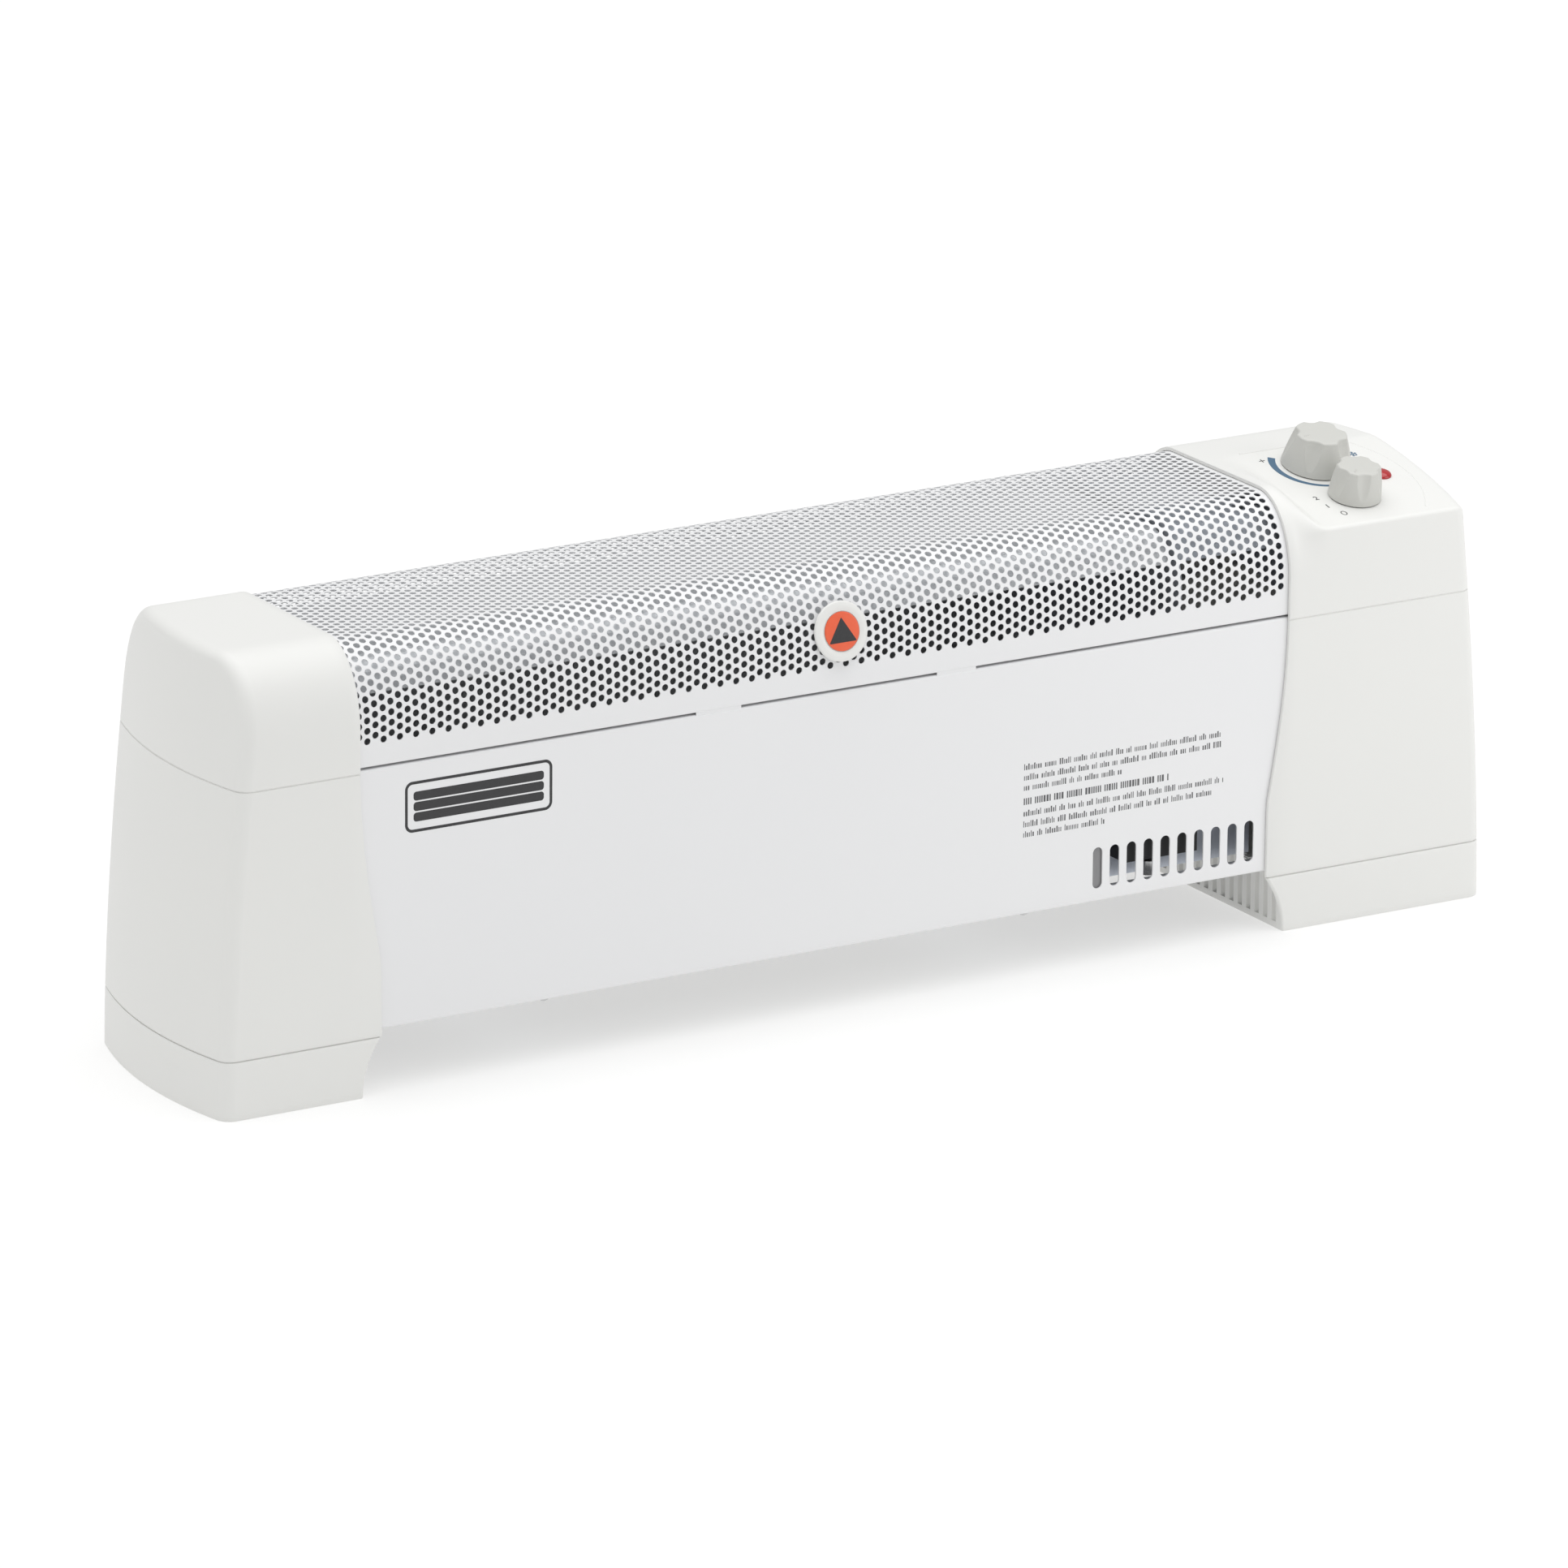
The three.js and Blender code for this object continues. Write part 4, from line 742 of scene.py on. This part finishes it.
def half_outline(sharp, inset, end):
    """Half of the cap's outline, from the foot to the middle of the top, for columns of sharp and inset.
    Round: upright, a quarter ellipse and a flat. Sharp: upright, a small round crease and a slope of 0.22
    that meets the flat in a soft corner. The two are mixed by sharp."""
    side = np.concatenate([CAP_BOTTOM + np.array([0, 0.15, 0.5]), np.linspace(34, 165.5, 15),
                           GROOVE_Z + np.array([-1.0, -0.5, -0.36, -0.2, 0, 0.2, 0.36, 0.5, 1.0])])
    upright = np.linspace(POLE_Z, SHOULDER_Z, 5)[:-1]
    t = np.linspace(0, 1, 33)[:, None]
    depth, top = HALF_DEPTH - inset, CAP_HEIGHT - inset
    y_round = SHOULDER_Y + (CORNER_Y - inset) * np.cos(t * np.pi / 2)
    z_round = SHOULDER_Z + (CORNER_Z - inset) * np.sin(t * np.pi / 2)

    def sloped(y):
        plane = CREASE_Z - inset * 1.02 + SLOPE * (y + HALF_DEPTH)
        return -0.25 * np.logaddexp(-plane / 0.25, -top / 0.25)

    if end < 0:
        bend = np.clip((t - CREASE_FROM) / (CREASE_TO - CREASE_FROM), 0, 1) * (np.pi / 2 - CREASE_ANGLE)
        radius = CREASE_R - np.minimum(inset, 1.4)
        start = sloped(-depth) - radius * (1 - np.sin(CREASE_ANGLE)) / np.cos(CREASE_ANGLE)
        y_sharp = np.where(t < CREASE_FROM, depth, depth - radius * (1 - np.cos(bend)))
        z_sharp = np.where(t < CREASE_FROM, SHOULDER_Z + (start - SHOULDER_Z) * t / CREASE_FROM,
                           start + radius * np.sin(bend))
        y_after = depth - radius * (1 - np.sin(CREASE_ANGLE))
        y_slope = y_after + (SHOULDER_Y - y_after) * np.clip((t - CREASE_TO) / (1 - CREASE_TO), 0, 1)
        y_sharp = np.where(t > CREASE_TO, y_slope, y_sharp)
        z_sharp = np.where(t > CREASE_TO, sloped(-y_slope), z_sharp)
        y_corner, z_corner = y_round + (y_sharp - y_round) * sharp, z_round + (z_sharp - z_round) * sharp
    else:
        y_corner, z_corner = y_round, z_round + 0 * sharp
    y_top = np.concatenate([np.linspace(SHOULDER_Y, 15, 9)[1:],
                            [13.6, 12.9, 12.4, 12.05, 11.7, 11.2, 10.5, 8, 4, 0]])
    y_top = y_top[:, None] + 0 * inset
    z_top = top + (sloped(end * y_top) - top) * sharp
    flat = np.concatenate([side, upright])[:, None]
    y = np.vstack([0 * flat + depth, y_corner + 0 * depth, y_top])
    z = np.vstack([flat + 0 * depth, z_corner + 0 * depth, z_top])
    return end * y, z, len(side)


def cap_skin(hand, base, lip):
    """A cap's skin as a grid. Rows run up the front, over the top and down the back. Columns run from
    the inner edge along X, round the outer edge, and to the middle of the end face. The groove and the
    soft edges are small insets: a round bump of depth in z, and steps at the border."""
    radius = EDGE_ROUND - base
    stations = np.linspace(*MORPH, 13) if hand == "right" else np.linspace(301, 340, 4)
    offsets, lips = np.array([[0, 0.12, 0.45], [0.5, 0.17, 0]]) if lip else np.zeros((2, 1))
    mixed = smooth((stations - MORPH[0]) / (MORPH[1] - MORPH[0])) * (hand == "right")
    sharp = np.concatenate([0 * offsets, mixed])
    lips = np.concatenate([lips, 0 * stations])
    halves = []
    for end in (-1, 1):
        _, z_plain, side_rows = half_outline(np.zeros(1), np.array([base]), end)
        row = np.arange(len(z_plain))[:, None]
        groove = LINE_DEPTH * np.sqrt(np.clip(1 - ((z_plain - GROOVE_Z) / LINE_HALF) ** 2, 0, 1))
        sill = np.select([row == 0, row == 1], [0.45, 0.12], 0.0)
        dent = groove * (row < side_rows + 2) + sill if lip else 0 * groove
        y, z, _ = half_outline(sharp[None], base + lips[None], end)
        y = np.where(row < side_rows + 4, y - end * dent, y)
        halves.append((y, z, dent))
    y, z, dent = (np.vstack([front, rear[:-1][::-1]]) for front, rear in zip(*halves))
    low, high = CURVE[hand]
    inner = INNER_LOW[hand] + (INNER_HIGH[hand] - INNER_LOW[hand]) * np.sin(
        np.clip((z[:, :1] - low) / (high - low), 0, 1) * np.pi / 2)
    x = np.hstack([inner + offsets[None], np.tile(stations, (len(y), 1))])
    y_last, z_last = y[:, -1:], z[:, -1:]
    pole_z = np.where(z_last < POLE_Z, z_last, POLE_Z)
    reach = np.hypot(y_last, z_last - pole_z)

    def inwards(distance):
        share = distance / reach
        return y_last * (1 - share), z_last + (pole_z - z_last) * share

    angle = np.linspace(0, np.pi / 2, 13)[None]
    y_edge, z_edge = inwards(radius * (1 - np.cos(angle)))
    x_edge = end_face(y_edge, z_edge, base) - radius * (1 - np.sin(angle)) - dent * np.sin(angle)
    y_face, z_face = inwards(radius + (reach - radius) * np.linspace(0, 1, 13)[None, 1:])
    x_face = end_face(y_face, z_face, base) - dent
    return np.stack([SIDE[hand] * np.hstack([x, x_edge, x_face]), np.hstack([y, y_edge, y_face]),
                     np.hstack([z, z_edge, z_face])], -1)


def on_panel(a, b, h):
    """From the sloping panel's frame: a along the heater, b up the slope from the crease, h out of it."""
    sine, cosine = np.sin(CREASE_ANGLE), np.cos(CREASE_ANGLE)
    return np.stack([a + 0 * b, -HALF_DEPTH + b * cosine - h * sine, CREASE_Z + b * sine + h * cosine], -1)


DIAL_X, THERMOSTAT_B, HEAT_B = 305.4, 64.7, 27.8
LENS_A, LENS_B, SPINDLE_HOLE_R, LENS_HOLE_R = 333.0, 44.9, 4.2, 3.9
CAP_SCREW_X, CAP_SCREW_ZS = {"left": -298.9, "right": 249.5}, (62.0, 142.0)
CAP_SHANK_R, CAP_HEAD_R, CAP_HEAD_Y = 1.8, 3.4, 71.1
for hand in ("left", "right"):
    outer, inner = cap_skin(hand, 0.0, True), cap_skin(hand, WALL, False)
    rows = len(outer)
    sizes = outer.shape[1], inner.shape[1]
    start = rows * sizes[0]
    outer_quads, inner_quads = grid_quads(rows, sizes[0]), grid_quads(rows, sizes[1]) + start
    edge = np.arange(rows)
    mouth = np.stack([edge[:-1] * sizes[0], edge[1:] * sizes[0], start + edge[1:] * sizes[1],
                      start + edge[:-1] * sizes[1]], -1)
    faces = [*outer_quads.tolist(), *inner_quads[:, ::-1].tolist(), *mouth.tolist()]
    skip = sizes[0] - sizes[1]
    for row in (0, rows - 1):
        own, under = np.arange(sizes[0]) + row * sizes[0], np.arange(sizes[1]) + start + row * sizes[1]
        strip = np.stack([own[skip:-1], own[skip + 1:], under[1:], under[:-1]], -1)
        faces += strip.tolist() + [[*own[:skip + 1].tolist(), int(under[0])]]
    cap = solid(hand + "_cap_shell", np.vstack([outer.reshape(-1, 3), inner.reshape(-1, 3)]), faces,
                shell_plastic, "shell_plastic", crease=38)
    for z in CAP_SCREW_ZS:
        drill, faces = turned([(0, 60), (CAP_SHANK_R, 60), (CAP_SHANK_R, CAP_HEAD_Y),
                               (CAP_HEAD_R, CAP_HEAD_Y), (CAP_HEAD_R, 75), (0, 75)], 24)
        drill = np.column_stack([drill[:, 0] + CAP_SCREW_X[hand], drill[:, 2], drill[:, 1] + z])
        worked(cap, "DIFFERENCE", solid("drill", drill, faces), crease=38)
    if hand == "right":
        for a, b, radius in ((DIAL_X, THERMOSTAT_B, SPINDLE_HOLE_R), (DIAL_X, HEAT_B, SPINDLE_HOLE_R),
                             (LENS_A, LENS_B, LENS_HOLE_R)):
            drill, faces = turned(rod(radius, -8, 6))
            drill = on_panel(a + drill[:, 0], b + drill[:, 1], drill[:, 2])
            worked(cap, "DIFFERENCE", solid("drill", drill, faces), crease=38)
    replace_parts(cap, hand + "_end_cap")

# A fine raised line that borders the sloping panel: straight near the top, then an arc to the front.
BEAD_A, BEAD_B, BEAD_R, BEAD_TOP, FLAT_FROM = 285.0, 45.5, 64.0, 88.0, 86.6
arc = np.radians(np.linspace(41, -37, 60))
line = np.vstack([np.column_stack([np.linspace(273, 330, 24), np.full(24, BEAD_TOP)]),
                  np.column_stack([BEAD_A + BEAD_R * np.cos(arc), BEAD_B + BEAD_R * np.sin(arc)])])
along = np.gradient(line, axis=0)
along = along / np.linalg.norm(along, axis=1)[:, None]
left = np.stack([-along[:, 1], along[:, 0]], -1)
section = np.array([[-0.55, -0.2], [-0.42, 0.10], [-0.15, 0.2], [0.15, 0.2], [0.42, 0.10], [0.55, -0.2]])
flat = line[:, None] + left[:, None] * section[None, :, :1]
dip = np.maximum(0, flat[..., 1] - FLAT_FROM) * SLOPE
bead = on_panel(flat[..., 0], flat[..., 1], section[None, :, 1] - dip)
solid("panel_bead", *lofted(bead), shell_plastic, "shell_plastic")

# ---------------------------------------------------------------- dial marks
# Pad printed on the sloping panel: a blue wedge round the thermostat from a plus to a frost star,
# and O, 1 and 2 for the heat switch.
blue_ink = ink("blue_ink", (0.055, 0.13, 0.215), (0.07, 0.15, 0.24))
INK_LOW = 0.01


def printed_strip(name, inner, outer, finish):
    """Ink between two matching lines in the panel's frame."""
    loop = [on_panel(*line.T, h) for line, h in ((inner, INK_LOW), (outer, INK_LOW), (outer, INK_LOW + INK),
                                                 (inner, INK_LOW + INK))]
    solid(name, *lofted(np.stack(loop, 1)), finish, "shell_plastic")


# The wedge's inner line moves out a little as it goes round, and its width falls to a hairline.
WEDGE_R, WEDGE_WIDTH, WEDGE_HAIRLINE = 21.3, 3.7, 0.35
turnway = np.radians(np.linspace(143, 371, 120))
share = np.linspace(0, 1, 120)
inside = WEDGE_R + 1.3 * smooth(share * 1.6)
outside = inside + WEDGE_WIDTH * (1 - share) ** 1.3 + WEDGE_HAIRLINE
around = np.stack([np.cos(turnway), np.sin(turnway)], -1)
centre = np.array([DIAL_X, THERMOSTAT_B])
printed_strip("thermostat_wedge", centre + inside[:, None] * around, centre + outside[:, None] * around,
              blue_ink)


def bars(name, centre, strokes, width, finish):
    """Straight strokes of ink about a centre, each from one point to another."""
    points, faces = [], []
    for k, (a0, b0, a1, b1) in enumerate(strokes):
        start, end = np.array([a0, b0]), np.array([a1, b1])
        along = (end - start) / np.linalg.norm(end - start)
        left = np.array([-along[1], along[0]]) * width / 2
        outline = np.array([start - left, end - left, end + left, start + left]) + centre
        points.append(np.vstack([on_panel(*outline.T, h + 0.003 * k) for h in (INK_LOW, INK_LOW + INK)]))
        faces.append(box_faces + 8 * k)
    solid(name, np.vstack(points), np.vstack(faces), finish, "shell_plastic", tidy=False)


def around_dial(b, radius, degrees):
    """A place on the panel at a radius and a turn about a dial's middle."""
    turn = np.radians(degrees)
    return np.array([DIAL_X + radius * np.cos(turn), b + radius * np.sin(turn)])


bars("plus_mark", around_dial(THERMOSTAT_B, 28.4, 154), [(-1.7, 0, 1.7, 0), (0, -1.7, 0, 1.7)], 0.55,
     dark_ink)
strokes = []
for spoke in np.radians(np.arange(0, 360, 60) + 15):
    tip = np.array([np.cos(spoke), np.sin(spoke)])
    strokes.append((0.05 * tip[0], 0.05 * tip[1], 2.6 * tip[0], 2.6 * tip[1]))
    for lean in (-0.8, 0.8):
        barb = np.array([np.cos(spoke + lean), np.sin(spoke + lean)])
        strokes.append((*(1.5 * tip), *(1.5 * tip + 0.95 * barb)))
bars("frost_star", around_dial(THERMOSTAT_B, 26.5, 11), strokes, 0.5, blue_ink)


def figure(name, text, centre, height):
    """A printed figure, standing upright to someone in front of the heater."""
    curve = bpy.data.curves.new(name, "FONT")
    curve.body, curve.size, curve.extrude, curve.offset = text, height / 0.7, INK / 2, 0.05
    curve.align_x, curve.align_y = "CENTER", "CENTER"
    holder = bpy.data.objects.new(name, curve)
    bpy.context.scene.collection.objects.link(holder)
    shape = bpy.data.meshes.new_from_object(holder.evaluated_get(bpy.context.evaluated_depsgraph_get()))
    bpy.data.objects.remove(holder)
    points = np.zeros(len(shape.vertices) * 3)
    shape.vertices.foreach_get("co", points)
    points = points.reshape(-1, 3)
    faces = [list(face.vertices) for face in shape.polygons]
    placed = on_panel(centre[0] + points[:, 0], centre[1] + points[:, 1], points[:, 2] + INK_LOW + INK / 2)
    solid(name, placed, faces, dark_ink, "shell_plastic")


FIGURE_HEIGHT = 3.6
figure("figure_2", "2", around_dial(HEAT_B, 21.5, 170), FIGURE_HEIGHT)
figure("figure_1", "1", around_dial(HEAT_B, 20.9, 196), FIGURE_HEIGHT)
turnway = np.linspace(0, 2 * np.pi, 49)
around = np.stack([np.cos(turnway), np.sin(turnway)], -1)
off = around_dial(HEAT_B, 21.8, 223)
printed_strip("off_ring", off + 1.45 * around * [0.85, 1.15], off + 1.95 * around * [0.88, 1.12], dark_ink)

# ---------------------------------------------------------------- knobs
# Two push-on knobs moulded in grey plastic, tapered, with scooped flutes for the fingers and a
# short raised pointer line on top.
knob_plastic = moulded("knob_plastic", (0.60, 0.60, 0.565), (0.565, 0.565, 0.535), 0.42)
FLUTE_FROM, CUTTER_R, SHOULDER, KNOB_GAP, BORE_R, BORE_ROOF = 0.16, 4.4, 0.93, 0.5, 3.3, 5.0
POINTER_HALF, POINTER_SUNK = 0.42, 0.02


def knob(name, replaced, body, b, base_r, top_r, height, flutes, pointer, scoop):
    """Rows follow a profile from the bore over the skirt and the rounded shoulder to the crown's middle.
    A flute takes away D(t) less s squared over twice its cutter's radius, where it is above 0: s is the
    distance round the knob from the flute's middle, and D grows with height t from FLUTE_FROM."""
    sides = 360
    angle = np.linspace(0, 2 * np.pi, sides, endpoint=False)[None]
    t = np.concatenate([[0, 0.012], np.linspace(0.04, SHOULDER, 34)])
    radius = base_r + (top_r + 0.45 - base_r) * (t / SHOULDER) + 0.35 * np.sin(np.pi * t)
    radius[0] -= 0.3
    corner = np.linspace(0, np.pi / 2, 8)[1:]
    t = np.concatenate([t, SHOULDER + (1 - SHOULDER) * np.sin(corner)])[:, None]
    radius = np.concatenate([radius, radius[-1] - (1 - SHOULDER) * height * (1 - np.cos(corner))])[:, None]
    middle = np.radians(pointer + 180 / flutes + np.arange(flutes) * 360 / flutes)
    away = (angle[..., None] - middle + np.pi) % (2 * np.pi) - np.pi
    s = np.abs(away).min(-1) * radius
    cut = np.maximum(0, scoop * np.clip((t - FLUTE_FROM) / 0.6, 0, 1) ** 0.8 - s**2 / (2 * CUTTER_R))
    wall = radius - cut
    inner = [1.0 - 0.12 * k for k in range(1, 8)] + [0.0]
    crown = np.stack([wall[-1] * k for k in inner])
    rows_r = np.vstack([np.zeros((1, sides)), np.full((2, sides), BORE_R), wall, crown])
    rows_h = np.vstack([np.full((2, sides), height - BORE_ROOF), np.zeros((1, sides)),
                        np.tile(t * height, (1, sides)), np.full((len(inner), sides), height)])
    a, c = rows_r * np.cos(angle), rows_r * np.sin(angle)
    made = solid(name, on_panel(DIAL_X + a, b + c, rows_h + KNOB_GAP),
                 grid_quads(len(rows_r), sides, wrap=True), knob_plastic, "knob_plastic", body, crease=24)
    turn = np.radians(pointer)
    out, aside = np.array([np.cos(turn), np.sin(turn)]), np.array([-np.sin(turn), np.cos(turn)])
    reach = np.linspace(top_r - 6.0, top_r - 1.7, 12)
    taper = POINTER_HALF * np.sqrt(np.clip(1 - (2 * np.linspace(0, 1, 12) - 1) ** 6, 0.02, 1))
    section = np.array([[-1, 0.0], [-0.6, 0.26], [0, 0.36], [0.6, 0.26], [1, 0.0]])
    flat = reach[:, None, None] * out + (taper[:, None] * section[None, :, 0])[..., None] * aside
    lift = height + KNOB_GAP - POINTER_SUNK + section[None, :, 1] * np.where(taper > 0.2, 1, 0.1)[:, None]
    solid(name + "_pointer", *lofted(on_panel(DIAL_X + flat[..., 0], b + flat[..., 1], lift)), knob_plastic,
          "knob_plastic", body)
    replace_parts(made, replaced)


knob("thermostat_knob_moulding", "thermostat_knob", "thermostat_dial", THERMOSTAT_B,
     base_r=18.6, top_r=13.4, height=18.5, flutes=5, pointer=188, scoop=2.3)
knob("heat_knob_moulding", "heat_switch_knob", "heat_dial", HEAT_B,
     base_r=13.9, top_r=11.2, height=17.5, flutes=6, pointer=223, scoop=1.5)

# ---------------------------------------------------------------- lamp
# A red polycarbonate lens pressed into the panel: a low dome over a thin rim.
lens_red, shader, place = new_finish("lens_red", coat_weight=0.4, coat_roughness=0.08)
glow = place.noise(260.0, 2.0)
feed(shader, glow.blend((0.36, 0.008, 0.012), (0.47, 0.014, 0.018)), glow * 0.06 + 0.10, glow, 0.000006)
dome = [(5.3 * np.cos(q), 0.75 + 1.65 * np.sin(q)) for q in np.linspace(0.1, np.pi / 2, 14)]
lens, faces = turned([(0, -11), (3.6, -11), (3.6, 0.05), (5.5, 0.05), (5.5, 0.6), (5.38, 0.8), *dome[:-1],
                      (0, 2.4)], 64)
lens = on_panel(LENS_A + lens[:, 0], LENS_B + lens[:, 1], lens[:, 2])
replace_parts(solid("lamp_dome", lens, faces, lens_red, "lamp_red"), "lamp_lens")

# ---------------------------------------------------------------- switches, bush and wires
# Dark phenolic and nylon mouldings hold the contacts, a rubber bush lines the cord's hole in the
# back, and sleeved wires join them.
phenolic = moulded("phenolic", (0.016, 0.016, 0.018), (0.030, 0.030, 0.032), 0.48, grain=900.0)
coated(("cord_bush", "thermostat_body", "heat_switch_body", "tip_switch_housing"), phenolic)
sleeve = moulded("wire_sleeve", (0.33, 0.34, 0.36), (0.40, 0.41, 0.43), 0.5, grain=2200.0, depth=0.00002)
coated([name for name in nodes if name.startswith("wire_")], sleeve)
